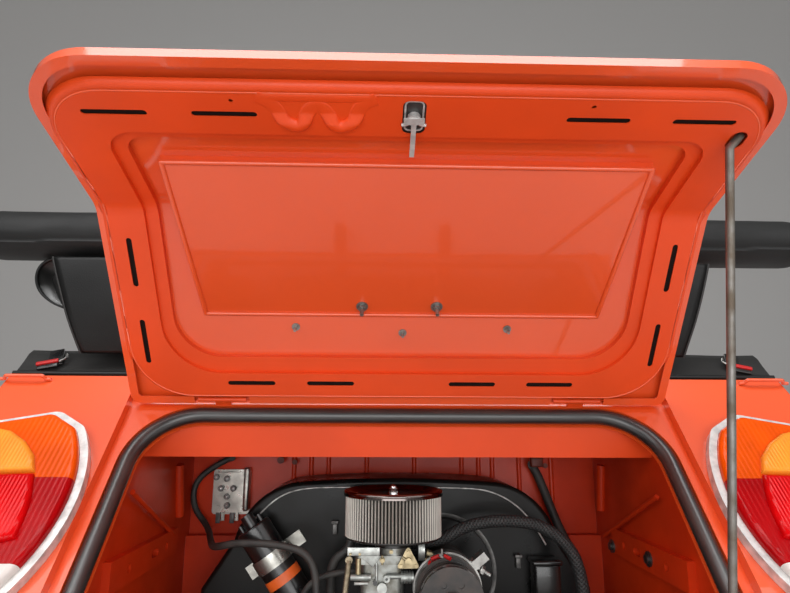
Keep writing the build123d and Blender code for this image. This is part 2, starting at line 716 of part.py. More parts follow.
with BuildPart() as top_bows:
    for x in (-BOW_X, BOW_X):
        with BuildSketch(side_plane(x - BOW_T / 2)):
            Polygon((108, PANEL_EDGE.Z + GAP), (128, PANEL_EDGE.Z + GAP), (128, 112 - GAP),
                    (108, 112 - GAP), align=None)
        extrude(amount=BOW_T)
        with BuildSketch(top_plane(PANEL_EDGE.Z + GAP)):
            with Locations((x, 140)):
                Rectangle(44, 50)
        extrude(amount=5)
finish(top_bows.part, "top_bows")


# Prop rod: its bent end turns in the eye of the lid's frame, its foot stands on a lug.
# The bent end lies on the axis about which the standing rod turns to its stowed place.
rod_end = SHUT.plane(1, ROD_FOOT[2]).from_local_coords(Vector(*ROD_FOOT[:2], 0))
eye = OPEN.plane(1, -SHEET / 2).from_local_coords(Vector(*ROD_EYE, 0))
knee = eye + OPEN.n[1] * ROD_KNEE_N
stowed = (Vector(-1, 0, 0) * cos(radians(ROD_STOW)) - OPEN.d[1] * sin(radians(ROD_STOW))
          + OPEN.n[1] * sin(radians(ROD_RISE))).normalized()
for passes in range(8):
    standing = (rod_end - knee).normalized()
    between = radians(standing.get_angle(stowed) / 2)
    bend = asin(sin(between) / sin(radians(ROD_TURN / 2)))
    lean = cos(bend) / cos(between)
    shank_dir = ((standing + stowed).normalized() * lean
                 + stowed.cross(standing).normalized() * sqrt(1 - lean * lean))
    knee = eye + shank_dir * ((ROD_KNEE_N + SHEET / 2) / shank_dir.dot(OPEN.n[1]))
with BuildPart() as prop_rod:
    tip = knee - shank_dir * ROD_SHANK
    with BuildLine() as rod_line:
        FilletPolyline(tip, knee, rod_end, radius=ROD_BEND)
    with BuildSketch(Plane(origin=tip, z_dir=shank_dir)):
        Circle(ROD_DIA / 2)
    sweep(path=rod_line.line)
finish(prop_rod.part, "prop_rod")

# Lug on the rebate floor that the rod's foot stands on
LUG_HALF = 7.0
LUG_LENGTH = 8.0
with BuildPart() as rod_lug:
    add(lid_box(ROD_FOOT[0], LUG_HALF, ROD_FOOT[1] + 1.4, ROD_FOOT[1] + 1.4 + LUG_LENGTH,
                ROD_FOOT[2] - ROD_DIA / 2 + 1, REBATE_FLOOR - GAP, fold=SHUT, side=1))
finish(rod_lug.part, "rod_lug")

# Fan shroud: an arched housing with a round boss for the generator
SHROUD_X = -18.0
TIN_Z = -430.0
TIN = 1.5
with BuildPart() as fan_shroud:
    with BuildSketch(rear_plane(SHROUD_BACK)) as arch:
        with Locations((SHROUD_X, 0)):
            with BuildLine():
                ThreePointArc((-172, -137), (0, -131), (172, -137))
                ThreePointArc((172, -137), (247, -166), (292, -237))
                Polyline((292, -237), (345, -318), (352, TIN_Z + GAP), (-352, TIN_Z + GAP),
                         (-345, -318), (-292, -237))
                ThreePointArc((-292, -237), (-247, -166), (-172, -137))
            make_face()
    extrude(amount=SHROUD_BACK - SHROUD_FRONT)
    rear_edges = fan_shroud.faces().sort_by(Axis.Y)[0].edges()
    fillet([e for e in rear_edges if e.center().Z > TIN_Z + 5], 9)
    with BuildSketch(rear_plane(SHROUD_BACK)):
        with Locations((GENERATOR_X, GENERATOR_Z)):
            Circle(94)
    extrude(amount=11, taper=18)
finish(fan_shroud.part, "fan_shroud")

# Tin plates that close the bay round the engine
BELT_SLOT = (-118.0, 108.0, 18.0)
STAND_X = 66.0
STAND_FOOT = 120.0
STAND_FRONT = 138.0
STAND_REAR = 108.0
with BuildPart() as engine_tin:
    with BuildSketch(top_plane(TIN_Z)):
        tin_back = -150.0
        with Locations((0, (tin_back + BAY_FRONT - LEDGE_DEPTH - GAP) / 2)):
            Rectangle(2 * (WALL_X - GAP), BAY_FRONT - LEDGE_DEPTH - GAP - tin_back)
        with Locations(((BELT_SLOT[0] + BELT_SLOT[1]) / 2, (BELT_SLOT[2] + tin_back - 10) / 2)):
            Rectangle(BELT_SLOT[1] - BELT_SLOT[0], BELT_SLOT[2] - tin_back + 10,
                      mode=Mode.SUBTRACT)
        with Locations((STAND_X, (STAND_FRONT + STAND_REAR) / 2)):
            Rectangle(STAND_FOOT + 4, STAND_FRONT - STAND_REAR + 4, mode=Mode.SUBTRACT)
    extrude(amount=-TIN)
finish(engine_tin.part, "engine_tin")

# Crankcase, cylinders and rocker covers below the tin
CASE_TOP = TIN_Z - TIN - GAP
FLANGE_BOLTS = (250.0, 210.0)
FLANGE_HOLE = 11.0
with BuildPart() as crankcase:
    with BuildSketch(rear_plane(60)) as case_face:
        with Locations((ENGINE_X, (CASE_TOP - 700) / 2)):
            Rectangle(220, CASE_TOP + 700)
        fillet(case_face.vertices(), 45)
    extrude(amount=60 - 330)
    with BuildSketch(rear_plane(330)):
        with Locations((ENGINE_X, CRANK_Z + 10)):
            Circle(165)
        with Locations((ENGINE_X, CRANK_Z + 5)):
            with GridLocations(*FLANGE_BOLTS, 2, 2):
                Circle(20)
                Circle(FLANGE_HOLE / 2, mode=Mode.SUBTRACT)
    extrude(amount=330 - MOUNT_Y)
    with BuildSketch(rear_plane(60)):
        with Locations((ENGINE_X, CRANK_Z)):
            Circle(42)
    extrude(amount=40)
finish(crankcase.part, "crankcase")

CYLINDER_Y = (120.0, 232.0)
with BuildPart() as cylinder_banks:
    for side in (-1, 1):
        base = Plane(origin=at(ENGINE_X + side * (110 + GAP), 0, CRANK_Z), x_dir=(0, 1, 0),
                     z_dir=(side, 0, 0))
        with BuildSketch(base):
            with Locations(*[(y, 0) for y in CYLINDER_Y]):
                Circle(47)
        extrude(amount=110)
        for k in range(9):
            with BuildSketch(base.offset(8 + 11 * k)):
                with Locations(*[(y, 0) for y in CYLINDER_Y]):
                    RectangleRounded(108, 118, 30)
            extrude(amount=4)
        with BuildSketch(base.offset(108)) as head:
            with Locations((sum(CYLINDER_Y) / 2, 0)):
                RectangleRounded(236, 132, 16)
        extrude(amount=88)
finish(cylinder_banks.part, "cylinder_banks")

with BuildPart() as rocker_covers:
    for side in (-1, 1):
        base = Plane(origin=at(ENGINE_X + side * (306 + 2 * GAP), 0, CRANK_Z), x_dir=(0, 1, 0),
                     z_dir=(side, 0, 0))
        with BuildSketch(base):
            with Locations((sum(CYLINDER_Y) / 2, 0)):
                RectangleRounded(226, 104, 18)
        extrude(amount=62, taper=8)
finish(rocker_covers.part, "rocker_covers")

# Generator on its cast stand, with its strap
GEN_BACK = 4.0
with BuildPart() as generator:
    with BuildSketch(rear_plane(SHROUD_BACK - 11 - GAP)):
        with Locations((GENERATOR_X, GENERATOR_Z)):
            Circle(GENERATOR_R)
    extrude(amount=SHROUD_BACK - 11 - GAP - GEN_BACK - 8)
    with BuildSketch(rear_plane(GEN_BACK + 8)):
        with Locations((GENERATOR_X, GENERATOR_Z)):
            Circle(GENERATOR_R - 5)
    extrude(amount=8)
    with BuildSketch(rear_plane(GEN_BACK)):
        with Locations((GENERATOR_X, GENERATOR_Z)):
            Circle(8.5)
    extrude(amount=30)
finish(generator.part, "generator")

STRAP_Y = 62.0
STRAP_WIDTH = 26.0
STRAP_T = 3.0
with BuildPart() as generator_strap:
    with BuildSketch(rear_plane(STRAP_Y)):
        with Locations((GENERATOR_X, GENERATOR_Z)):
            Circle(GENERATOR_R + GAP + STRAP_T)
            Circle(GENERATOR_R + GAP, mode=Mode.SUBTRACT)
        lug = radians(38)
        reach = GENERATOR_R + 14
        with Locations(Location((GENERATOR_X + reach * cos(lug), GENERATOR_Z + reach * sin(lug)),
                                38)):
            Rectangle(30, 14)
    extrude(amount=STRAP_WIDTH)
    with BuildSketch(rear_plane(STRAP_Y - STRAP_WIDTH - 3)):
        with Locations((GENERATOR_X, GENERATOR_Z)):
            Circle(GENERATOR_R + GAP)
    extrude(amount=-STRAP_WIDTH - 6, mode=Mode.SUBTRACT)
finish(generator_strap.part, "generator_strap")

STAND_TOP = GENERATOR_Z - 20.0
with BuildPart() as generator_stand:
    with BuildSketch(rear_plane(STAND_FRONT)):
        with Locations((STAND_X, (STAND_TOP + CASE_TOP) / 2 + GAP)):
            Trapezoid(STAND_FOOT, STAND_TOP - CASE_TOP, 78)
        with Locations((GENERATOR_X, GENERATOR_Z)):
            Circle(GENERATOR_R + GAP + STRAP_T + GAP, mode=Mode.SUBTRACT)
    extrude(amount=STAND_FRONT - STAND_REAR)
finish(generator_stand.part, "generator_stand")

# Pulleys and the belt
BELT_T = 8.0
GROOVE = 9.0


def pulley(x, z, radius, hub, length):
    with BuildPart(mode=Mode.PRIVATE) as wheel:
        with BuildSketch(Plane(origin=at(x, PULLEY_Y, z), x_dir=(1, 0, 0), z_dir=(0, 0, 1))):
            half = BELT_WIDTH / 2
            with BuildLine():
                Polyline(
                    (0, -half - 5), (radius, -half - 5), (radius, -half - 2),
                    (radius - GROOVE, -half + 1), (radius - GROOVE, half - 1),
                    (radius, half + 2), (radius, half + 5), (hub, half + 5),
                    (hub, half + length), (0, half + length), close=True)
            make_face()
        revolve(axis=Axis(at(x, PULLEY_Y, z), (0, 1, 0)))
    return wheel.part


with BuildPart() as generator_pulley:
    add(pulley(GENERATOR_X, GENERATOR_Z, GEN_PULLEY_R, 15, GEN_BACK - PULLEY_Y - 7))
    with BuildSketch(rear_plane(PULLEY_Y - 9)):
        with Locations((GENERATOR_X, GENERATOR_Z)):
            RegularPolygon(15, 6)
    extrude(amount=12)
    for k in range(6):
        a = radians(60 * k)
        with BuildSketch(rear_plane(PULLEY_Y - 30)):
            with Locations((GENERATOR_X + 26 * cos(a), GENERATOR_Z + 26 * sin(a))):
                Circle(5)
        extrude(amount=-22, mode=Mode.SUBTRACT)
    with BuildSketch(rear_plane(GEN_BACK + 6)):
        with Locations((GENERATOR_X, GENERATOR_Z)):
            Circle(8.55)
    extrude(amount=37, mode=Mode.SUBTRACT)
finish(generator_pulley.part, "generator_pulley")

with BuildPart() as crank_pulley:
    add(pulley(ENGINE_X, CRANK_Z, CRANK_PULLEY_R, 30, 20 - PULLEY_Y - 7))
    for k in range(5):
        a = radians(72 * k + 18)
        with BuildSketch(rear_plane(PULLEY_Y - 30)):
            with Locations((ENGINE_X + 50 * cos(a), CRANK_Z + 50 * sin(a))):
                Circle(13)
        extrude(amount=-60, mode=Mode.SUBTRACT)
finish(crank_pulley.part, "crank_pulley")

with BuildPart() as fan_belt:
    wheels = ((GENERATOR_X, GENERATOR_Z, GEN_PULLEY_R), (ENGINE_X, CRANK_Z, CRANK_PULLEY_R))
    for grow, mode in ((BELT_T + 0.6, Mode.ADD), (0.6, Mode.SUBTRACT)):
        with BuildSketch(rear_plane(PULLEY_Y - BELT_WIDTH / 2 + 1.5)):
            with BuildLine():
                for x, z, radius in wheels:
                    with Locations((x, z)):
                        CenterArc((x, z), radius - GROOVE + grow, 0, 360)
            make_hull()
        extrude(amount=-BELT_WIDTH + 3, mode=mode)
finish(fan_belt.part, "fan_belt")

# Air filter: base pan, pleated ring and dished lid
FILTER_X = -10.0
PLEATS = 88
with BuildPart() as filter_base:
    with BuildSketch(top_plane(FILTER_BOTTOM - GAP)):
        with Locations((FILTER_X, FILTER_Y)):
            Circle(FILTER_R - 2)
    extrude(amount=-FILTER_PAN)
    fillet(filter_base.edges().sort_by(Axis.Z)[:1], 2)
    with BuildSketch(top_plane(FILTER_BOTTOM - GAP - FILTER_PAN)):
        with Locations((FILTER_X, FILTER_Y)):
            Circle(30)
            Circle(26, mode=Mode.SUBTRACT)
    extrude(amount=-13)
finish(filter_base.part, "filter_base")

with BuildPart() as filter_element:
    with BuildSketch(top_plane(FILTER_BOTTOM)):
        with Locations((FILTER_X, FILTER_Y)):
            ring_points = []
            for k in range(2 * PLEATS):
                r = FILTER_R - (1.2 if k % 2 else 4.4)
                ring_points.append((r * cos(pi * k / PLEATS), r * sin(pi * k / PLEATS)))
            Polygon(*ring_points, align=None)
            Circle(FILTER_R - 18, mode=Mode.SUBTRACT)
    extrude(amount=FILTER_TOP - 9 - FILTER_BOTTOM)
finish(filter_element.part, "filter_element")

with BuildPart() as filter_lid:
    axis_plane = Plane(origin=at(FILTER_X, FILTER_Y, FILTER_TOP), x_dir=(1, 0, 0),
                       z_dir=(0, -1, 0))
    with BuildSketch(axis_plane):
        with BuildLine():
            edge_r = FILTER_R + 2
            Line((0, -6), (edge_r - 14, -6))
            ThreePointArc((edge_r - 14, -6), (edge_r - 8, -2.5), (edge_r - 4, 0))
            ThreePointArc((edge_r - 4, 0), (edge_r, -2), (edge_r, -6))
            Polyline((edge_r, -6), (edge_r, -9 + GAP), (0, -9 + GAP), (0, -6))
        make_face()
    revolve(axis=Axis(at(FILTER_X, FILTER_Y, 0), (0, 0, 1)))
    with BuildSketch(top_plane(FILTER_TOP - 6)):
        with Locations((FILTER_X, FILTER_Y)):
            RegularPolygon(8, 6)
    extrude(amount=7)
    with BuildSketch(top_plane(FILTER_TOP - 6)):
        with Locations((FILTER_X, FILTER_Y)):
            Circle(3)
    extrude(amount=12)
finish(filter_lid.part, "filter_lid")

# Carburettor
CARB_TOP = FILTER_BOTTOM - GAP - FILTER_PAN - 13 - GAP
CARB_FOOT = -372.0
CARB_X = -14.0
with BuildPart() as carburettor:
    with BuildSketch(top_plane(CARB_TOP)):
        with Locations((FILTER_X, FILTER_Y)):
            Circle(30)
    extrude(amount=-14)
    with BuildSketch(top_plane(CARB_TOP - 10)):
        with Locations((CARB_X - 12, FILTER_Y)):
            RectangleRounded(92, 66, 10)
    extrude(amount=-13)
    with BuildSketch(top_plane(CARB_TOP - 23)):
        with Locations((CARB_X - 14, FILTER_Y + 4)):
            RectangleRounded(70, 58, 12)
    extrude(amount=-58)
    with BuildSketch(top_plane(CARB_TOP - 81)):
        with Locations((CARB_X, FILTER_Y)):
            Circle(26)
    extrude(amount=CARB_FOOT + 9 - CARB_TOP + 81)
    with BuildSketch(top_plane(CARB_FOOT + 9)):
        with Locations((CARB_X, FILTER_Y)):
            RectangleRounded(86, 44, 14)
    extrude(amount=-9)
finish(carburettor.part, "carburettor")

# Inlet manifold
with BuildPart() as manifold:
    with BuildSketch(top_plane(CARB_FOOT - GAP)):
        with Locations((CARB_X, FILTER_Y)):
            RectangleRounded(86, 44, 14)
    extrude(amount=-8)
    with BuildSketch(top_plane(CARB_FOOT - 6)):
        with Locations((CARB_X, FILTER_Y)):
            Circle(17)
    extrude(amount=TIN_Z + GAP - CARB_FOOT + 6)
    with BuildLine() as arms:
        FilletPolyline(at(-322, 112, TIN_Z + GAP), at(-322, 112, -405), at(-300, 65, -405),
                       at(300, 65, -405), at(322, 112, -405), at(322, 112, TIN_Z + GAP), radius=18)
    with BuildSketch(Plane(origin=at(-322, 112, TIN_Z + GAP), z_dir=(0, 0, 1))):
        Circle(14)
    sweep(path=arms.line)
finish(manifold.part, "inlet_manifold")

# Ignition coil: a slanted can in a clamp that stands off the shroud
COIL_TOP = at(-252, 112, -208)
COIL_LOW = at(-172, 112, -322)
COIL_R = 30.0
coil_dir = (COIL_LOW - COIL_TOP).normalized()
coil_plane = Plane(origin=COIL_TOP, x_dir=(0, 1, 0), z_dir=coil_dir)
COIL_LENGTH = (COIL_LOW - COIL_TOP).length
with BuildPart() as ignition_coil:
    with BuildSketch(coil_plane):
        Circle(COIL_R)
    extrude(amount=COIL_LENGTH)
    fillet(ignition_coil.edges(), 4)
    with BuildSketch(coil_plane):
        Circle(11)
    extrude(amount=-22)
    with BuildSketch(coil_plane):
        with Locations((0, -18), (0, 18)):
            Circle(4)
    extrude(amount=-12)
finish(ignition_coil.part, "ignition_coil")

CLAMP_START = 52.0
CLAMP_WIDTH = 24.0
with BuildPart() as coil_clamp:
    with BuildSketch(coil_plane.offset(CLAMP_START)):
        Circle(COIL_R + GAP + 2)
        with Locations((COIL_R + 5, 0)):
            Rectangle(6, 30)
        with Locations((SHROUD_BACK - GAP - 112 - 1.5, 0)):
            Rectangle(3, 112)
        Circle(COIL_R + GAP, mode=Mode.SUBTRACT)
    extrude(amount=CLAMP_WIDTH)
finish(coil_clamp.part, "coil_clamp")

with BuildPart() as coil_ring:
    with BuildSketch(coil_plane.offset(CLAMP_START + CLAMP_WIDTH + 14)):
        Circle(COIL_R + GAP + 0.6)
        Circle(COIL_R + GAP, mode=Mode.SUBTRACT)
    extrude(amount=16)
finish(coil_ring.part, "coil_ring")

# Voltage regulator on the bulkhead
with BuildPart() as regulator:
    with BuildSketch(rear_plane(BAY_FRONT - GAP)):
        with Locations((-338, -172)):
            RectangleRounded(76, 88, 6)
    extrude(amount=8)
    with BuildSketch(rear_plane(BAY_FRONT - GAP - 8)):
        with Locations((-338, -172)):
            RectangleRounded(66, 78, 5)
    extrude(amount=12)
    with BuildSketch(rear_plane(BAY_FRONT - GAP - 20)):
        with Locations((-361, -142), (-315, -142), (-361, -202), (-315, -202), (-338, -172)):
            Circle(4.5)
    extrude(amount=3)
    with BuildSketch(top_plane(-209)):
        with Locations((-352, BAY_FRONT - 12), (-324, BAY_FRONT - 12)):
            Rectangle(7, 2)
    extrude(amount=-19)
finish(regulator.part, "regulator")


def hose_part(name, points, diameter, bore=0.0, share=0.45):
    part, radii = hose([at(*point) for point in points], diameter, bore, share)
    finish(part, name)
    print(name, "bend radii", [round(radius, 1) for radius in radii])


OIL_FILLER = (170.0, 15.0)
hose_part("breather_hose", ((21, 76, -227.5), (66, 76, -227.5), (110, 70, -200), (166, 60, -189),
                            (232, 56, -194), (280, 52, -227), (297, 50, -273), (297, 40, -340),
                            (276, 18, -374), (OIL_FILLER[0] + 30 + GAP, OIL_FILLER[1], -374)),
          20, 13)
hose_part("vent_hose", ((-80, 80, -216.9), (-80, 80, -238), (-112, 82, -256), (-114, 90, -306),
                        (-113, 94, -370), (-113, 94, TIN_Z + GAP)), 15, 9)
hose_part("fuel_hose", ((-63.4, 70, -270), (-112, 70, -272), (-152, 70, -292), (-165, 78, -332),
                        (-165, 94, -380), (-165, 94, TIN_Z + GAP)), 10, 6)
hose_part("heater_hose", ((285, BAY_FRONT - GAP, -116), (285, 303, -116), (296, 298, -136),
                          (314, 292, -187), (332, 276, -245), (374, 270, -322),
                          (376, 268, TIN_Z + GAP)), 18, 12)
hose_part("battery_cable", ((-337, BAY_FRONT - GAP, -104), (-337, 306, -104), (-360, 302, -112),
                            (-411, 298, -148), (-412, 298, -200), (-374, 288, -238),
                            (-342, 190, -250), (-310, 90, -238), (-262, 62, -224),
                            (-187, 50, -226), (-140, 38, -240), (-128, 30, -300),
                            (-128, 30, TIN_Z + GAP)), 12)

# Oil filler tower
with BuildPart() as oil_filler:
    with BuildSketch(top_plane(TIN_Z + GAP)):
        with Locations(OIL_FILLER):
            Circle(30)
    extrude(amount=80)
    with BuildSketch(top_plane(TIN_Z + GAP + 80)):
        with Locations(OIL_FILLER):
            Circle(34)
    extrude(amount=14)
    fillet(oil_filler.edges().sort_by(Axis.Z)[-1:], 5)
finish(oil_filler.part, "oil_filler")

# Silencer across the back, with two tailpipes and two risers to the cylinder heads
SILENCER_Y = -110.0
SILENCER_Z = -645.0
SILENCER_R = 55.0
SILENCER_HALF = 290.0
PIPE_Z = SHUT.point(PANEL_END + APRON_HEIGHT, 0).Z
with BuildPart() as silencer:
    with BuildSketch(side_plane(-SILENCER_HALF)):
        with Locations((SILENCER_Y, SILENCER_Z)):
            Circle(SILENCER_R)
    extrude(amount=2 * SILENCER_HALF)
    fillet(silencer.edges(), 12)
    for side in (-1, 1):
        with BuildSketch(rear_plane(SILENCER_Y)):
            with Locations((side * TAILPIPE_X, PIPE_Z)):
                Circle(TAILPIPE_R)
        extrude(amount=200)
        with BuildSketch(rear_plane(SILENCER_Y - 140)):
            with Locations((side * TAILPIPE_X, PIPE_Z)):
                Circle(TAILPIPE_R - 2)
        extrude(amount=100, mode=Mode.SUBTRACT)
        x = side * 255 + ENGINE_X
        with BuildLine() as riser:
            FilletPolyline(at(x, SILENCER_Y, SILENCER_Z), at(x, 176, SILENCER_Z),
                           at(x, 176, CRANK_Z - 66 - GAP), radius=18)
        with BuildSketch(Plane(origin=at(x, SILENCER_Y, SILENCER_Z), z_dir=(0, 1, 0))):
            Circle(19)
        sweep(path=riser.line)
finish(silencer.part, "silencer")
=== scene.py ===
"""Rear body section of an open-top utility car: paint, rubber, vinyl and metal for the
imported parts, the folded soft top, the hoses and the small fittings of the engine bay."""

import json
from math import atan2, cos, pi, radians, sin

import bmesh
import bpy
from mathutils import Matrix, Vector, noise


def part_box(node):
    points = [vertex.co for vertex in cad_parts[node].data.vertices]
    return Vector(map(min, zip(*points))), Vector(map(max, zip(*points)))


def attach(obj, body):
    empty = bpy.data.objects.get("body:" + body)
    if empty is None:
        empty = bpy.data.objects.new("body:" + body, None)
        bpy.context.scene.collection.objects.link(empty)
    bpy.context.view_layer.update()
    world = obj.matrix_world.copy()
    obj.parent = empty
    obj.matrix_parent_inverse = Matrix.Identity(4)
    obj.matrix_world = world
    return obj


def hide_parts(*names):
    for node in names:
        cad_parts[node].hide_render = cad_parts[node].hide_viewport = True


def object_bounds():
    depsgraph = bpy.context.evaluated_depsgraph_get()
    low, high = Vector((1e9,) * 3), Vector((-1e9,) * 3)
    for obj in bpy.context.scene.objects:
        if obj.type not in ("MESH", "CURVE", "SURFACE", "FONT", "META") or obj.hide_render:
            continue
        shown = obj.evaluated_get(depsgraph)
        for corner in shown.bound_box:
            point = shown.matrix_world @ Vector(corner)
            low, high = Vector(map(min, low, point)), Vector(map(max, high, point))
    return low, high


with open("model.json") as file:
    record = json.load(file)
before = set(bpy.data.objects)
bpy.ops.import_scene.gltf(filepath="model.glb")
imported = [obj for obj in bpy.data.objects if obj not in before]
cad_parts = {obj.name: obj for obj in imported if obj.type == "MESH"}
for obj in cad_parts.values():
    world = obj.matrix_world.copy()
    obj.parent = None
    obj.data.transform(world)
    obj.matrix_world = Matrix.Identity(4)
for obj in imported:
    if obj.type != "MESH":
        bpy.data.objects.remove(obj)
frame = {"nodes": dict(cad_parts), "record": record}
cad_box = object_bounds()

HINGE_Y = -0.350
WALL_X = 0.409               # inner face of each bay wall
BULKHEAD_Y = -0.0545         # the bulkhead's face towards the engine
DECK_Z = 0.0435
LID_LEAN = radians(35.46)    # of the raised lid, from upright
LID_FOLD = radians(37.01)    # how much further it leans past its fold
LID_REACH = 0.320            # from the hinge to the fold


def box_of(node):
    """The two corners of a node's box."""
    return [Vector(corner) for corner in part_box(node)]


# Shader groups
MIX_A, MIX_B, MIX_RESULT = 6, 7, 2    # a Mix node's sockets for colours


def new_group(name, inputs, outputs):
    """A group of float sockets, and the sockets at its two ends."""
    group = bpy.data.node_groups.new(name, "ShaderNodeTree")
    for label, default in inputs:
        socket = group.interface.new_socket(label, in_out="INPUT", socket_type="NodeSocketFloat")
        socket.default_value = default
    for label in outputs:
        group.interface.new_socket(label, in_out="OUTPUT", socket_type="NodeSocketFloat")
    given = group.nodes.new("NodeGroupInput").outputs
    made = group.nodes.new("NodeGroupOutput").inputs
    return group, given, made


def tree_of(owner):
    """The nodes of a material or world, and the function that links them."""
    return owner.node_tree.nodes, owner.node_tree.links.new


def set_inputs(node, values):
    """Sets inputs of a node, by label or number."""
    for label, value in values.items():
        node.inputs[label].default_value = value


def build_mottle():
    """Two scales of noise on the object: a mask and a small height."""
    group, given, made = new_group("mottle", (("Scale", 30.0), ("Fine", 400.0)),
                                   ("Mask", "Height"))
    nodes, link = group.nodes, group.links.new
    place = nodes.new("ShaderNodeTexCoord")
    broad = nodes.new("ShaderNodeTexNoise")
    fine = nodes.new("ShaderNodeTexNoise")
    broad.inputs["Detail"].default_value = 5.0
    fine.inputs["Detail"].default_value = 3.0
    for texture, size in ((broad, "Scale"), (fine, "Fine")):
        link(place.outputs["Object"], texture.inputs["Vector"])
        link(given[size], texture.inputs["Scale"])
    spread = nodes.new("ShaderNodeMapRange")
    set_inputs(spread, {"From Min": 0.35, "From Max": 0.65})
    link(broad.outputs["Fac"], spread.inputs["Value"])
    link(spread.outputs["Result"], made["Mask"])
    link(fine.outputs["Fac"], made["Height"])
    return group


def build_grain():
    """Leather-like cells for vinyl, as a height."""
    group, given, made = new_group("vinyl_grain", (("Scale", 600.0),), ("Height",))
    nodes, link = group.nodes, group.links.new
    place = nodes.new("ShaderNodeTexCoord")
    cells = nodes.new("ShaderNodeTexVoronoi")
    cells.feature = "SMOOTH_F1"
    link(place.outputs["Object"], cells.inputs["Vector"])
    link(given["Scale"], cells.inputs["Scale"])
    link(cells.outputs["Distance"], made["Height"])
    return group


MOTTLE = build_mottle()
GRAIN = build_grain()


def add_relief(material, height, strength, distance):
    """Sets a bump from a height socket on a material that has none."""
    nodes, link = tree_of(material)
    relief = nodes.new("ShaderNodeBump")
    set_inputs(relief, {"Strength": strength, "Distance": distance})
    link(height, relief.inputs["Height"])
    link(relief.outputs["Normal"], nodes["Principled BSDF"].inputs["Normal"])


def shade(name, colour, rough, metallic=0.0, coat=0.0, spread=0.06, tint=0.10, bump=0.0,
          scale=30.0, fine=400.0, coat_rough=0.05, dark=None, shine=0.5):
    """A Principled material whose colour, roughness and surface vary over the piece."""
    material = bpy.data.materials.new(name)
    material.use_nodes = True
    nodes, link = tree_of(material)
    surface = nodes["Principled BSDF"]
    set_inputs(surface, {"Metallic": metallic, "Coat Weight": coat,
                         "Coat Roughness": coat_rough, "Specular IOR Level": shine})
    mottle = nodes.new("ShaderNodeGroup")
    mottle.node_tree = MOTTLE
    set_inputs(mottle, {"Scale": scale, "Fine": fine})
    shadow = dark or [channel * (1 - tint) for channel in colour]
    blend = nodes.new("ShaderNodeMix")
    blend.data_type = "RGBA"
    set_inputs(blend, {MIX_A: (*colour, 1), MIX_B: (*shadow, 1)})
    link(mottle.outputs["Mask"], blend.inputs["Factor"])
    link(blend.outputs[MIX_RESULT], surface.inputs["Base Color"])
    rise = nodes.new("ShaderNodeMapRange")
    set_inputs(rise, {"To Min": rough, "To Max": min(1.0, rough + spread)})
    link(mottle.outputs["Mask"], rise.inputs["Value"])
    link(rise.outputs["Result"], surface.inputs["Roughness"])
    if bump:
        add_relief(material, mottle.outputs["Height"], strength=bump, distance=0.0006)
    return material


def shade_vinyl(name, colour, rough):
    """Grained vinyl."""
    material = shade(name, colour, rough, coat=0.05, coat_rough=0.3, spread=0.14, tint=0.35,
                     scale=9.0, shine=0.28)
    grain = material.node_tree.nodes.new("ShaderNodeGroup")
    grain.node_tree = GRAIN
    grain.inputs["Scale"].default_value = 520.0
    add_relief(material, grain.outputs["Height"], strength=0.35, distance=0.0004)
    return material


def add_wave(nodes, direction, scale):
    """Even bands along one axis."""
    lines = nodes.new("ShaderNodeTexWave")
    lines.bands_direction = direction
    lines.inputs["Scale"].default_value = scale
    return lines


def shade_lens(name, colour, flutes):
    """Moulded lens with fine upright flutes."""
    material = shade(name, colour, 0.14, tint=0.25, scale=14.0, shine=0.16)
    nodes, link = tree_of(material)
    place = nodes.new("ShaderNodeTexCoord")
    lines = add_wave(nodes, "X", flutes)
    link(place.outputs["Object"], lines.inputs["Vector"])
    add_relief(material, lines.outputs["Fac"], strength=0.3, distance=0.0009)
    return material


def shade_braid(name):
    """Black braided sleeve: two crossing sets of strands."""
    material = shade(name, (0.018, 0.018, 0.018), 0.5, spread=0.15, tint=0.3, scale=60.0)
    nodes, link = tree_of(material)
    place = nodes.new("ShaderNodeTexCoord")
    strands = []
    for turn in (40, -40):
        tilt = nodes.new("ShaderNodeMapping")
        tilt.inputs["Rotation"].default_value = (0, radians(turn), 0)
        lines = add_wave(nodes, "X", 75.0)
        link(place.outputs["Object"], tilt.inputs["Vector"])
        link(tilt.outputs["Vector"], lines.inputs["Vector"])
        strands.append(lines)
    weave = nodes.new("ShaderNodeMath")
    weave.operation = "MULTIPLY"
    for k, lines in enumerate(strands):
        link(lines.outputs["Fac"], weave.inputs[k])
    add_relief(material, weave.outputs["Value"], strength=0.8, distance=0.0015)
    return material


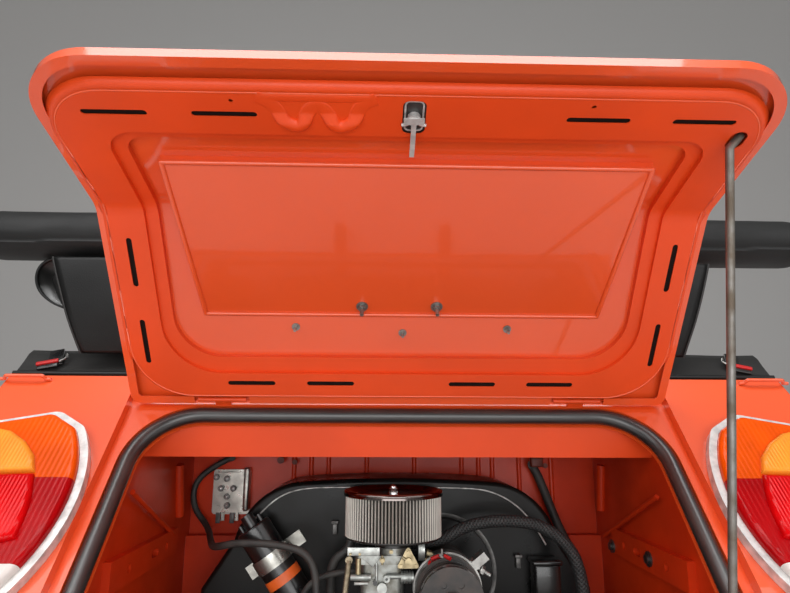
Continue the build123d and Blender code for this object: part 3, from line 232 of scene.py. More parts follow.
def shade_gauze(name, centre, valley, crest):
    """Fine wire gauze over pleats, with painted shade that darkens them from their crests to their
    valleys.
    """
    material = shade(name, (0.62, 0.58, 0.52), 0.36, metallic=0.6, tint=0.12, scale=40.0)
    nodes, link = tree_of(material)
    place = nodes.new("ShaderNodeTexCoord")
    shift = nodes.new("ShaderNodeVectorMath")
    shift.operation = "SUBTRACT"
    shift.inputs[1].default_value = (centre.x, centre.y, 0)
    level = nodes.new("ShaderNodeVectorMath")
    level.operation = "MULTIPLY"
    level.inputs[1].default_value = (1, 1, 0)
    reach = nodes.new("ShaderNodeVectorMath")
    reach.operation = "LENGTH"
    depth = nodes.new("ShaderNodeMapRange")
    set_inputs(depth, {"From Min": valley, "From Max": crest})
    painted_pleat_shade = nodes.new("ShaderNodeMix")
    painted_pleat_shade.data_type = "RGBA"
    # painted shade: near black in the pleats' valleys, where shade falls
    painted_pleat_shade.inputs[MIX_A].default_value = (0.02, 0.018, 0.016, 1)
    link(place.outputs["Object"], shift.inputs[0])
    link(shift.outputs["Vector"], level.inputs[0])
    link(level.outputs["Vector"], reach.inputs[0])
    link(reach.outputs["Value"], depth.inputs["Value"])
    link(depth.outputs["Result"], painted_pleat_shade.inputs["Factor"])
    surface = nodes["Principled BSDF"]
    link(surface.inputs["Base Color"].links[0].from_socket, painted_pleat_shade.inputs[MIX_B])
    link(painted_pleat_shade.outputs[MIX_RESULT], surface.inputs["Base Color"])
    rows = add_wave(nodes, "Z", 180.0)
    link(place.outputs["Object"], rows.inputs["Vector"])
    add_relief(material, rows.outputs["Fac"], strength=0.5, distance=0.0004)
    return material


filter_low, filter_high = box_of("filter_element")
FILTER_CENTRE = (filter_low + filter_high) / 2
ORANGE = (0.80, 0.085, 0.014)
materials = {
    "paint": shade("body_paint", ORANGE, 0.34, coat=1.0, spread=0.05, tint=0.06, scale=4.0),
    "paint_inner": shade("inner_paint", (0.80, 0.070, 0.010), 0.38, coat=0.30, coat_rough=0.34,
                         spread=0.08, tint=0.10, bump=0.04, scale=7.0, shine=0.22),
    # painted shade: the body's orange made darker for the bay walls, bulkhead and beads, which lie
    # in shade
    "paint_bay_shaded": shade("bay_paint_shaded", (0.62, 0.036, 0.004), 0.42, coat=0.15, coat_rough=0.15,
                       spread=0.15, tint=0.20, bump=0.08, scale=9.0, shine=0.2),
    "black_paint": shade("black_enamel", (0.006, 0.006, 0.007), 0.24, coat=0.35, coat_rough=0.1,
                         spread=0.16, tint=0.4, bump=0.06, scale=16.0, dark=(0.014, 0.012, 0.010)),
    "shroud_black": shade("shroud_enamel", (0.003, 0.003, 0.003), 0.22, coat=0.03, coat_rough=0.10,
                          spread=0.22, tint=0.4, bump=0.08, scale=9.0, dark=(0.008, 0.007, 0.006),
                          shine=0.17),
    "bare_aluminium": shade("spun_aluminium", (0.46, 0.45, 0.41), 0.24, metallic=0.9, spread=0.2,
                            tint=0.35, bump=0.1, scale=50.0),
    "cast_aluminium": shade("cast_alloy", (0.36, 0.37, 0.35), 0.34, metallic=0.75, spread=0.2,
                            tint=0.3, bump=0.35, scale=60.0, fine=900.0, dark=(0.20, 0.19, 0.16)),
    "steel": shade("worn_steel", (0.42, 0.41, 0.39), 0.32, metallic=0.95, spread=0.2, tint=0.4,
                   bump=0.15, scale=45.0),
    "rod_steel": shade("rod_steel", (0.25, 0.24, 0.225), 0.42, metallic=0.75, spread=0.2,
                       tint=0.45, bump=0.2, scale=35.0, dark=(0.15, 0.12, 0.09)),
    "chrome": shade("chrome_plate", (0.82, 0.82, 0.82), 0.07, metallic=1.0, spread=0.05,
                    tint=0.05),
    "lock_plating": shade("lock_plating", (0.78, 0.77, 0.75), 0.30, metallic=0.45, spread=0.2,
                          tint=0.35, bump=0.1, scale=70.0),
    "dark_chrome": shade("dark_chrome", (0.20, 0.17, 0.16), 0.10, metallic=1.0, spread=0.06,
                         tint=0.2, scale=20.0),
    "cast_case": shade("cast_case", (0.34, 0.33, 0.31), 0.55, metallic=0.5, spread=0.2, tint=0.16,
                       bump=0.4, scale=40.0, fine=800.0),
    "rubber": shade("black_rubber", (0.014, 0.013, 0.013), 0.36, coat=0.9, coat_rough=0.28,
                    spread=0.15, tint=0.4, bump=0.05, scale=25.0, dark=(0.022, 0.021, 0.020)),
    "hose_rubber": shade("hose_rubber", (0.020, 0.019, 0.018), 0.48, spread=0.18, tint=0.4,
                         bump=0.1, scale=40.0, dark=(0.045, 0.042, 0.038)),
    "braid": shade_braid("braided_hose"),
    "vinyl": shade_vinyl("top_vinyl", (0.010, 0.010, 0.010), 0.44),
    "stack_vinyl": shade_vinyl("glossy_vinyl", (0.008, 0.008, 0.008), 0.26),
    "flap_vinyl": shade_vinyl("flap_vinyl", (0.034, 0.033, 0.032), 0.38),
    "orange_plastic": shade("orange_ring", (0.85, 0.14, 0.02), 0.4, tint=0.15),
    "amber_lens": shade_lens("amber_lens", (0.88, 0.095, 0.002), 42.0),
    "red_lens": shade_lens("red_lens", (0.42, 0.001, 0.003), 42.0),
    # painted light: the domes get lighter copies of the amber and red lens colours
    "amber_dome": shade_lens("amber_dome", (1.0, 0.33, 0.03), 60.0),
    "red_dome": shade_lens("red_dome", (0.66, 0.002, 0.004), 60.0),
    "clear_lens": shade_lens("clear_lens", (0.80, 0.74, 0.70), 42.0),
    "filter_paper": shade_gauze("filter_gauze", FILTER_CENTRE, valley=0.0774, crest=0.0796),
    "brass": shade("yellow_plating", (0.50, 0.41, 0.25), 0.32, metallic=0.9, spread=0.2,
                   tint=0.35, bump=0.15, scale=80.0),
    "light_casting": shade("light_casting", (0.56, 0.58, 0.55), 0.34, metallic=0.8, spread=0.2,
                           tint=0.3, bump=0.3, scale=90.0, fine=900.0),
    "spring_plating": shade("spring_plating", (0.42, 0.35, 0.24), 0.36, metallic=0.85, spread=0.2,
                            tint=0.4, scale=120.0),
    "steel_dark": shade("clip_steel", (0.16, 0.155, 0.15), 0.4, metallic=0.8, spread=0.2,
                        tint=0.4, scale=80.0),
    # painted highlight for the fan shroud's top edge
    "painted_edge_highlight": shade("painted_edge_highlight", (0.55, 0.54, 0.52), 0.30, metallic=0.8, spread=0.2, tint=0.6,
                       scale=60.0),
    # painted shade: near-black sheets behind the lid's slots, standing for the shade inside the
    # lid
    "slot_shade": shade("slot_painted_shade", (0.010, 0.006, 0.005), 0.7, spread=0.1, tint=0.3,
                    scale=60.0, shine=0.1),
    "dark_orange": shade("plug_paint", (0.16, 0.022, 0.008), 0.45, spread=0.2, tint=0.4,
                         scale=60.0),
    "generator_black": shade("generator_black", (0.009, 0.007, 0.006), 0.30, coat=0.15,
                             coat_rough=0.2, spread=0.2, tint=0.4, scale=40.0,
                             dark=(0.05, 0.035, 0.028)),
    "red_plastic": shade("red_plastic", (0.55, 0.012, 0.012), 0.35, tint=0.2),
}

FINISH_BY_NODE = {
    "bay_wall_left": "paint_bay_shaded", "bay_wall_right": "paint_bay_shaded", "bulkhead": "paint_bay_shaded",
    "fan_shroud": "shroud_black", "filter_lid": "dark_chrome", "generator": "generator_black",
    "generator_pulley": "generator_black", "lamp_bezels": "lock_plating",
    "lid_hinge_leaves": "paint_inner", "lid_lock": "lock_plating", "prop_rod": "rod_steel",
    "tie_loops": "paint",
}
slots = {part["node"]: part["material_slot"] for part in frame["record"]["subparts"]}
for node, part in frame["nodes"].items():
    finish = materials[FINISH_BY_NODE.get(node, slots[node])]
    if not part.material_slots:
        part.data.materials.append(finish)
    for material_slot in part.material_slots:
        material_slot.material = finish


# Mesh helpers
def new_object(name, data):
    """Adds an object to the scene."""
    made = bpy.data.objects.new(name, data)
    bpy.context.scene.collection.objects.link(made)
    return made


def add_piece(name, bm, finish, body="section", sharp=50.0):
    """Makes an object of a bmesh, with its normals outwards, and gives it to a body."""
    bmesh.ops.remove_doubles(bm, verts=bm.verts, dist=1e-6)
    bmesh.ops.recalc_face_normals(bm, faces=bm.faces)
    mesh = bpy.data.meshes.new(name)
    bm.to_mesh(mesh)
    bm.free()
    mesh.materials.append(materials[finish])
    mesh.shade_smooth()
    mesh.set_sharp_from_angle(angle=radians(sharp))
    piece = new_object(name, mesh)
    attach(piece, body)
    return piece


def thicken(piece, thickness, offset=0.0):
    """Gives a sheet its thickness."""
    wall = piece.modifiers.new("wall", "SOLIDIFY")
    wall.thickness = thickness
    wall.offset = offset


def new_verts(grown):
    """The vertices that an extrusion has added."""
    return [item for item in grown["geom"] if isinstance(item, bmesh.types.BMVert)]


def round_off(bm, geom, offset, segments, affect="EDGES"):
    """Bevels edges or corners."""
    bmesh.ops.bevel(bm, geom=geom, offset=offset, affect=affect, segments=segments, profile=0.5,
                    material=-1)


def lay_bar(bm, start, end, radius, segments=12):
    """Adds a round bar from start to end."""
    start, end = Vector(start), Vector(end)
    run = end - start
    turn = run.to_track_quat("Z", "Y").to_matrix().to_4x4()
    bmesh.ops.create_cone(bm, cap_ends=True, segments=segments, radius1=radius, radius2=radius,
                          depth=run.length, matrix=Matrix.Translation((start + end) / 2) @ turn)


def lay_bars(bm, back, bars):
    """Adds round bars, each by its ends, radius and segments, with their y counted from back."""
    shift = Vector((0, back, 0))
    for start, end, radius, segments in bars:
        lay_bar(bm, Vector(start) + shift, Vector(end) + shift, radius, segments)


def lay_chain(bm, places, radius, segments):
    """Adds round bars from each place to the next."""
    for start, end in zip(places, places[1:]):
        lay_bar(bm, start, end, radius, segments)


def lay_ball(bm, place, radius):
    """Adds a small sphere."""
    bmesh.ops.create_uvsphere(bm, u_segments=20, v_segments=12, radius=radius,
                              matrix=Matrix.Translation(place))


def lay_box(bm, centre, size, round_by=0.0, turn=None):
    """Adds a box, with rounded edges where round_by is given."""
    place = Matrix.Translation(centre) @ (turn or Matrix.Identity(4)) @ Matrix.Diagonal((*size, 1))
    verts = bmesh.ops.create_cube(bm, size=1.0, matrix=place)["verts"]
    if round_by:
        round_off(bm, list({edge for vert in verts for edge in vert.link_edges}), round_by, 3)


def lay_screw(bm, place, axis, radius, height):
    """Adds a hexagon head on a washer, standing on place along axis."""
    place, axis = Vector(place), Vector(axis).normalized()
    washer = place + axis * height * 0.25
    lay_bar(bm, place, washer, radius * 1.25, 20)
    lay_bar(bm, washer, place + axis * height, radius, 6)


def lid_point(x, s, n=0.0):
    """Place on the raised lid: s from the hinge along the inner face, n towards the engine."""
    lean = LID_LEAN + (LID_FOLD if s > LID_REACH else 0.0)
    before = min(s, LID_REACH)
    y = -sin(LID_LEAN) * before - sin(lean) * (s - before)
    z = cos(LID_LEAN) * before + cos(lean) * (s - before)
    return Vector((x, HINGE_Y + y - cos(lean) * n, z - sin(lean) * n))


def smooth_line(name, places, width):
    """A round cord through one open spline."""
    curve = bpy.data.curves.new(name, "CURVE")
    curve.dimensions = "3D"
    curve.bevel_depth = width / 2
    curve.bevel_resolution = 6
    curve.resolution_u = 14
    curve.use_fill_caps = True
    spline = curve.splines.new("NURBS")
    spline.points.add(len(places) - 1)
    for point, place in zip(spline.points, places):
        point.co = (*place, 1)
    spline.order_u = 3
    spline.use_endpoint_u = True
    return new_object(name, curve)


def lay_line(name, places, width, finish):
    """Adds a smooth line as a piece of the section."""
    line = smooth_line(name, places, width)
    line.data.materials.append(materials[finish])
    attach(line, "section")
    return line


# Hoses and battery cable
def lay_hose(name, node, diameter, finish, route):
    """Adds a hose along the part's own route, in millimetres behind the hinge line.

    The smoothed line cuts the corners of its route. The cord is said a little shorter."""
    places = [Vector((x / 1000, HINGE_Y + y / 1000, z / 1000)) for x, y, z in route]
    line = lay_line(name, places, diameter, finish)
    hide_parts(node)


HOSES = (
    ("braided_breather", "breather_hose", 0.020, "braid",
     ((21, 76, -227.5), (66, 76, -227.5), (110, 70, -200), (166, 60, -189), (232, 56, -194),
      (280, 52, -227), (297, 50, -273), (297, 40, -340), (276, 18, -374), (200.3, 15, -374))),
    ("vent_pipe", "vent_hose", 0.015, "hose_rubber",
     ((-80, 80, -216.9), (-80, 80, -238), (-112, 82, -256), (-114, 90, -306), (-113, 94, -370),
      (-113, 94, -429.7))),
    ("fuel_line", "fuel_hose", 0.010, "hose_rubber",
     ((-63.4, 70, -270), (-112, 70, -272), (-152, 70, -292), (-165, 78, -332), (-165, 94, -380),
      (-165, 94, -429.7))),
    ("heater_pipe", "heater_hose", 0.018, "hose_rubber",
     ((285, 295.7, -116), (285, 303, -116), (296, 298, -136), (314, 292, -187), (332, 276, -245),
      (374, 270, -322), (376, 268, -429.7))),
    ("battery_lead", "battery_cable", 0.012, "hose_rubber",
     ((-337, 295.7, -104), (-337, 306, -104), (-360, 302, -112), (-411, 298, -148),
      (-412, 298, -200), (-374, 288, -238), (-342, 190, -250), (-310, 90, -238),
      (-262, 62, -224), (-187, 50, -226), (-140, 38, -240), (-128, 30, -300),
      (-128, 30, -429.7))),
)


# Folded soft top
def along_x(node, rings, segments):
    """A capped tube of the node's length, with unit sections ready to be shaped."""
    low, high = box_of(node)
    bm = bmesh.new()
    bmesh.ops.create_cone(bm, cap_ends=True, segments=segments, radius1=1, radius2=1,
                          depth=high.x - low.x, matrix=Matrix.Rotation(pi / 2, 4, "Y"))
    lengthwise = [edge for edge in bm.edges
                  if abs(edge.verts[0].co.x - edge.verts[1].co.x) > 0.1]
    bmesh.ops.subdivide_edges(bm, edges=lengthwise, cuts=rings, use_grid_fill=True)
    bmesh.ops.translate(bm, verts=bm.verts, vec=((low.x + high.x) / 2, 0, 0))
    return bm, low, high


def end_rounding(x, low, high, round_by):
    """How full a section is near either end, from 0 to 1."""
    depth = min(x - low, high - x)
    if depth >= round_by:
        return 1.0
    return (1 - (1 - max(depth, 0.0) / round_by) ** 2) ** 0.5


def make_roll():
    """The rolled-up curtain: one turn of vinyl lapped over itself, with long soft dents."""
    bm, low, high = along_x("top_roll", rings=150, segments=96)
    middle, half = (low + high) / 2, (high - low) / 2
    for vert in bm.verts:
        x = vert.co.x
        angle = atan2(vert.co.z, vert.co.y)
        turn = ((angle - radians(-150 + 6 * sin(x * 5))) / (2 * pi)) % 1.0
        lap = 1.0 - 0.075 * turn
        dents = noise.noise(Vector((x * 5.0, cos(angle) * 1.3, sin(angle) * 1.3)))
        creases = noise.noise(Vector((x * 22.0, cos(angle) * 3.0, sin(angle) * 3.0)))
        size = lap * (0.985 + 0.035 * dents + 0.010 * creases)
        full = 0.35 + 0.65 * end_rounding(x, low.x, high.x, 0.04)
        vert.co.y = middle.y + cos(angle) * half.y * size * full
        vert.co.z = middle.z + sin(angle) * half.z * size * full
    roll = add_piece("rolled_top", bm, "vinyl", sharp=60)
    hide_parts("top_roll")


def make_stack():
    """The folded top: layers of vinyl that bulge between their folds."""
    bm, low, high = along_x("top_stack", rings=120, segments=120)
    middle, half = (low + high) / 2, (high - low) / 2
    power = 2.6    # of the section's outline, where 2 is round
    shoulder, drop, end = 0.212, 0.105, 0.30
    for vert in bm.verts:
        x = vert.co.x
        angle = atan2(vert.co.z, vert.co.y)
        across, up = cos(angle), sin(angle)
        square = 1.0 / (abs(across) ** power + abs(up) ** power) ** (1 / power)
        wander = 0.35 * noise.noise(Vector((x * 4.0, 0.0, 3.0)))
        layers = abs(cos(pi * (1.6 * up * square + 0.15 + wander))) ** 0.5
        folds = 1.0 - 0.06 * (1 - layers) * min(1.0, abs(across) * 1.6)
        sag = noise.noise(Vector((x * 7.0, across * 1.5, up * 1.5)))
        size = square * folds * (0.97 + 0.04 * sag)
        full = 0.80 + 0.20 * end_rounding(x, low.x, high.x, 0.030)
        vert.co.y = middle.y + across * half.y * size * full
        vert.co.z = middle.z + up * half.z * size * full
        depth = min(1.0, max(0.0, (shoulder - vert.co.z) / drop))
        near_end = 1.0 - min(1.0, min(x - low.x, high.x - x) / end)
        inwards = 1 if x < middle.x else -1
        vert.co.x += inwards * (0.044 + 0.056 * depth) * near_end
    stack = add_piece("folded_top", bm, "stack_vinyl", sharp=60)
    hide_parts("top_stack")


def make_skirt():
    """The top's lower edge: a raised, softly rippled flap over the deck."""
    low, high = box_of("top_skirt")
    outline = ((-0.298, DECK_Z + 0.0012), (-0.292, DECK_Z + 0.0012), (-0.286, DECK_Z + 0.004),
               (-0.262, DECK_Z + 0.030), (-0.250, 0.0885), (-0.238, 0.0960), (-0.222, 0.0900),
               (-0.186, 0.0640), (-0.182, 0.0610), (-0.190, 0.0610), (-0.226, 0.0850),
               (-0.238, 0.0890), (-0.246, 0.0860), (-0.270, DECK_Z + 0.016),
               (-0.288, DECK_Z + 0.0005))
    bm = bmesh.new()
    section = previous = bm.faces.new([bm.verts.new((low.x, y, z)) for y, z in outline])
    steps = 110
    for _ in range(steps):
        grown = bmesh.ops.extrude_face_region(bm, geom=[previous])
        bmesh.ops.translate(bm, verts=new_verts(grown), vec=((high.x - low.x) / steps, 0, 0))
        fresh = next(item for item in grown["geom"] if isinstance(item, bmesh.types.BMFace))
        if previous is not section:
            bmesh.ops.delete(bm, geom=[previous], context="FACES_ONLY")
        previous = fresh
    for vert in bm.verts:
        lift = max(0.0, min(1.0, (vert.co.z - DECK_Z - 0.006) / 0.04))
        ripple = noise.noise(Vector((vert.co.x * 9.0, vert.co.y * 8.0, 1.0)))
        vert.co.y += 0.0035 * lift * ripple
        vert.co.z += 0.0030 * lift * ripple - 0.0015 * lift
    skirt = add_piece("top_edge_flap", bm, "flap_vinyl", sharp=70)
    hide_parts("top_skirt")


def make_flap_trim():
    """Piping along the flap, and a clip with a red lock on each side."""
    edge = [Vector((x, -0.2915, DECK_Z + 0.0055)) for x in (-0.662, -0.2, 0.2, 0.662)]
    lay_line("flap_piping", edge, 0.009, "stack_vinyl")
    for side, name in ((-1, "left"), (1, "right")):
        slope = Matrix.Rotation(radians(52), 4, "X") @ Matrix.Rotation(radians(side * -16), 4, "Z")
        strap = bmesh.new()
        lay_box(strap, (side * 0.606, -0.2665, 0.0785), (0.024, 0.038, 0.0035), 0.0012, slope)
        lay_box(strap, (side * 0.612, -0.2800, 0.0640), (0.034, 0.016, 0.0060), 0.0018, slope)
        add_piece("flap_clip_" + name, strap, "black_paint", sharp=40)
        lock = bmesh.new()
        lay_box(lock, (side * 0.613, -0.2810, 0.0690), (0.036, 0.007, 0.0050), 0.0016, slope)
        add_piece("clip_lock_" + name, lock, "red_plastic", sharp=40)
        wire = bmesh.new()
        bends = [(side * x, y, z) for x, y, z in (
            (0.594, -0.2790, 0.0700), (0.586, -0.2700, 0.0790), (0.590, -0.2640, 0.0850))]
        lay_chain(wire, bends, 0.0020, 14)
        add_piece("clip_wire_" + name, wire, "steel", sharp=60)


def make_fold_loop():
    """The loose end of the folded side cloth, curled over on itself."""
    curl = [(-0.560, 0.160), (-0.588, 0.163), (-0.612, 0.172), (-0.636, 0.192), (-0.645, 0.217),
            (-0.640, 0.240), (-0.622, 0.252), (-0.600, 0.252), (-0.584, 0.246), (-0.580, 0.235),
            (-0.590, 0.224), (-0.602, 0.214)]
    for _ in range(3):
        finer = curl[:1]
        for (x0, z0), (x1, z1) in zip(curl, curl[1:]):
            finer.append((0.75 * x0 + 0.25 * x1, 0.75 * z0 + 0.25 * z1))
            finer.append((0.25 * x0 + 0.75 * x1, 0.25 * z0 + 0.75 * z1))
        curl = finer + curl[-1:]
    bm = bmesh.new()
    front, steps, stride = -0.296, 10, 0.008
    verts = [bm.verts.new((x, front, z)) for x, z in curl]
    edges = [bm.edges.new(pair) for pair in zip(verts, verts[1:])]
    for step in range(steps):
        grown = bmesh.ops.extrude_edge_only(bm, edges=edges)
        moved = new_verts(grown)
        edges = [item for item in grown["geom"] if isinstance(item, bmesh.types.BMEdge)
                 and all(vert in moved for vert in item.verts)]
        bmesh.ops.translate(bm, verts=moved, vec=(0, stride, 0))
        for vert in moved:
            sag = noise.noise(Vector((vert.co.x * 14, step * 0.35, vert.co.z * 14)))
            vert.co += Vector((0.0016, 0, 0.0022)) * sag
    loop = add_piece("side_cloth_loop", bm, "stack_vinyl", sharp=80)
    thicken(loop, 0.0034)


def make_side_cloth():
    """The cloth hanging from the folded top to the flap, with hemmed slanting edges."""
    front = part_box("top_stack")[0][1]
    columns, rows = 96, 30
    top, drop = 0.246, 0.162
    bm = bmesh.new()
    grid = []
    for row in range(rows + 1):
        down = row / rows
        left, right = -0.600 + 0.048 * down, 0.546 - 0.044 * down
        line = []
        for column in range(columns + 1):
            part = column / columns
            x = left + (right - left) * part
            wave = noise.noise(Vector((x * 9.0, 0.0, down * 2.5)))
            y = front - 0.0050 + 0.034 * down * down + 0.005 * wave * (0.3 + down)
            line.append(bm.verts.new((x, y, top - drop * down)))
        grid.append(line)
    for upper, lower in zip(grid, grid[1:]):
        for k in range(columns):
            bm.faces.new((upper[k], upper[k + 1], lower[k + 1], lower[k]))
    hems = [[line[k].co.copy() for line in grid] for k in (0, columns)]
    cloth = add_piece("side_cloth", bm, "stack_vinyl", sharp=80)
    thicken(cloth, 0.0028)
    for hem, side in zip(hems, ("left", "right")):
        lay_line("side_cloth_hem_" + side, hem[::3], 0.0042, "flap_vinyl")


make_roll()
make_stack()
make_fold_loop()
make_side_cloth()
make_skirt()
make_flap_trim()


# Lid details
def press_line(name, points, width, height):
    """A ridge on the lid's frame: a round line, flattened, and lowest near the seal."""
    line = smooth_line(name + "_line", [lid_point(x, s) for x, s in points], width)
    mesh = bpy.data.meshes.new_from_object(line)
    bpy.data.objects.remove(line)
    bm = bmesh.new()
    bm.from_mesh(mesh)
    low, fade = 0.0010, 0.012
    ground = lid_point(0, 0.5)
    outward = (lid_point(0, 0.5, -1.0) - ground).normalized()
    along = (lid_point(0, 0.6) - ground).normalized()
    for vert in bm.verts:
        lift = (vert.co - ground).dot(outward)
        near_seal = min(1.0, max(0.0, ((vert.co - ground).dot(along) + fade) / fade))
        rise = height + (low - height) * near_seal
        vert.co -= outward * lift * (1 - 2 * rise / width)
    add_piece(name, bm, "paint_inner", "lid", sharp=80)


def make_pressing():
    """The wavy stiffening press beside the lock, rolled out of the lid's inner frame."""
    wave = ((-0.176, 0.522), (-0.166, 0.518), (-0.156, 0.508), (-0.150, 0.486), (-0.128, 0.479),
            (-0.120, 0.505), (-0.108, 0.512), (-0.098, 0.502), (-0.090, 0.478), (-0.068, 0.486),
            (-0.062, 0.508), (-0.052, 0.518), (-0.042, 0.522))
    press_line("frame_pressing", wave, 0.018, 0.0075)
    rim = [(x, 0.5215) for x in (-0.176, -0.140, -0.110, -0.080, -0.042)]
    press_line("frame_pressing_rim", rim, 0.011, 0.0010)


def make_lock_recess():
    """The dark cup behind the lock, and the two bright arms of its catch."""
    middle = 0.0015
    cup = bmesh.new()
    lay_box(cup, lid_point(0.002, 0.495, -0.0045), (0.030, 0.002, 0.054), 0.0008,
            Matrix.Rotation(LID_LEAN + LID_FOLD, 4, "X"))
    add_piece("lock_cup", cup, "rubber", "lid", sharp=40)
    catch = bmesh.new()
    for side in (-1, 1):
        arm = [lid_point(middle + side * x, s, n) for x, s, n in (
            (0.0140, 0.4855, 0.0015), (0.0090, 0.4870, 0.0020), (0.0018, 0.4925, 0.0022))]
        lay_chain(catch, arm, 0.0022, 16)
    add_piece("lock_catch", catch, "lock_plating", "lid", sharp=60)


def make_slot_backs():
    """Dark sheets behind the slots of the lid's frame: painted shade for the hollow seen through
    the slots.
    """
    backs = bmesh.new()
    lean = Matrix.Rotation(LID_LEAN, 4, "X")
    steep = Matrix.Rotation(LID_LEAN + LID_FOLD, 4, "X")
    wide, tall = (0.080, 0.0008, 0.013), (0.013, 0.0008, 0.080)
    for side in (-1, 1):
        for x, s, size, turn in ((0.1134, 0.036, wide, lean), (0.2386, 0.036, wide, lean),
                                 (0.3955, 0.109, tall, lean), (0.3955, 0.2383, tall, lean),
                                 (0.2164, 0.496, wide, steep), (0.3417, 0.496, wide, steep)):
            lay_box(backs, lid_point(side * x, s, -0.0026), size, turn=turn)
    add_piece("slot_shade_backs", backs, "slot_shade", "lid")


def make_panel_rolls():
    """Rounded edges of the raised number-plate panel."""
    corners = [lid_point(x, s, n) for x, s, n in (
        (-0.302, 0.152, -0.0136), (-0.315, 0.412, -0.0021),
        (0.315, 0.412, -0.0021), (0.302, 0.152, -0.0136))]
    bm = bmesh.new()
    lay_chain(bm, corners + corners[:1], 0.0034, 20)
    for corner in corners:
        lay_ball(bm, corner, 0.0034)
    add_piece("panel_edge_rolls", bm, "paint", "lid", sharp=60)


def frame_outline(inset):
    """Points (x, s) around the lid's inner frame, close together along its sides."""
    half, start, end = 0.421 - inset, 0.011 + inset, 0.528 - inset
    turns, spacing = 12, 0.02
    corners = []
    for x_side, s_edge, radius, first in ((1, end, 0.075, 0), (-1, end, 0.075, 90),
                                          (-1, start, 0.090, 180), (1, start, 0.090, 270)):
        radius -= inset
        s_side = -1 if s_edge == end else 1
        centre = (x_side * (half - radius), s_edge + s_side * radius)
        for k in range(turns + 1):
            angle = radians(first + 90 * k / turns)
            corners.append((centre[0] + radius * cos(angle), centre[1] + radius * sin(angle)))
    points = []
    for (x0, s0), (x1, s1) in zip(corners, corners[1:] + corners[:1]):
        steps = max(1, int(abs(s1 - s0) / spacing))
        for k in range(steps):
            part = k / steps
            points.append((x0 + (x1 - x0) * part, s0 + (s1 - s0) * part))
    return points


def make_frame_flange():
    """The sloping wall from the lid's inner frame to the turned rim, clear of the hinges."""
    clear_of_hinge = 0.075
    bm = bmesh.new()
    rungs = [(s, bm.verts.new(lid_point(x, s, -0.0006)), bm.verts.new(lid_point(*outer, -0.0085)))
             for (x, s), outer in zip(frame_outline(0.0005), frame_outline(-0.0115))]
    for (s0, a, b), (s1, c, d) in zip(rungs, rungs[1:] + rungs[:1]):
        if min(s0, s1) > clear_of_hinge:
            bm.faces.new((a, b, d, c))
    bmesh.ops.delete(bm, geom=[vert for vert in bm.verts if not vert.link_faces],
                     context="VERTS")
    flange = add_piece("frame_flange", bm, "paint_inner", "lid", sharp=60)
    thicken(flange, 0.0008, -1.0 if flange.data.polygons[0].normal.y > 0 else 1.0)


def make_frame_roll():
    """The rolled outer edge of the lid's inner frame."""
    bm = bmesh.new()
    places = [lid_point(x, s, -0.0012) for x, s in frame_outline(0.0009)]
    lay_chain(bm, places + places[:1], 0.0016, 12)
    add_piece("frame_edge_roll", bm, "paint", "lid", sharp=80)


make_pressing()
make_panel_rolls()
make_frame_roll()
make_frame_flange()
make_lock_recess()
make_slot_backs()


# Tail lamps
PANEL_LEAN = radians(40.04)
PANEL_ORIGIN = Vector((0, -0.3374, -0.0005))


def panel_point(x, s, n):
    """Place on the rear panel: s down from the hinge, n outwards from the lid's inner face."""
    down = Vector((0, -sin(PANEL_LEAN), -cos(PANEL_LEAN)))
    out = Vector((0, -cos(PANEL_LEAN), sin(PANEL_LEAN)))
    return PANEL_ORIGIN + Vector((x, 0, 0)) + down * s + out * n


def make_lamp_domes():
    """The raised outer half of each lens, over the indicator and over the brake lamp.
    Its colour is the lens colour made lighter: painted light.
    """
    amber = ((-0.632, 0.102), (-0.597, 0.086), (-0.571, 0.092), (-0.543, 0.110), (-0.520, 0.134),
             (-0.507, 0.161), (-0.632, 0.166))
    red = ((-0.632, 0.1695), (-0.506, 0.1650), (-0.495, 0.196), (-0.489, 0.228), (-0.487, 0.258),
           (-0.520, 0.268), (-0.560, 0.276), (-0.626, 0.279))
    base, top = 0.030, 0.045
    for name, outline in (("amber", amber), ("red", red)):
        for side, word in ((1, "left"), (-1, "right")):
            bm = bmesh.new()
            face = bm.faces.new([bm.verts.new(panel_point(side * x, s, base)) for x, s in outline])
            moved = new_verts(bmesh.ops.extrude_face_region(bm, geom=[face]))
            rise = panel_point(0, 0, top) - panel_point(0, 0, base)
            bmesh.ops.translate(bm, verts=moved, vec=rise)
            crest = [edge for edge in bm.edges if all(vert in moved for vert in edge.verts)]
            round_off(bm, crest, 0.0075, 5)
            add_piece(f"{name}_dome_{word}", bm, f"{name}_dome", sharp=60)


make_lamp_domes()


# Engine bay details
def make_wall_beads():
    """Two rolled beads on each bay wall, and two plugs on one."""
    runs = ((-1, ((-18, -137), (195, -236)), 0.004), (-1, ((209, -112), (233, -208)), 0.009),
            (1, ((7, -146), (252, -248)), 0.004), (1, ((259, -114), (275, -203)), 0.009))
    bm = bmesh.new()
    for side, ends, width in runs:
        x = side * (WALL_X + width - 0.0010)
        start, end = ((x, HINGE_Y + y / 1000, z / 1000) for y, z in ends)
        lay_bar(bm, start, end, width, 24)
    add_piece("wall_beads", bm, "paint_bay_shaded")
    plugs = bmesh.new()
    for y, z in ((204, -258), (47, -248)):
        foot, rim, head = ((WALL_X + x, HINGE_Y + y / 1000, z / 1000)
                           for x in (0.001, -0.003, -0.007))
        lay_bar(plugs, foot, rim, 0.012, 28)
        lay_bar(plugs, rim, head, 0.007, 28)
    add_piece("wall_plugs", plugs, "rubber")


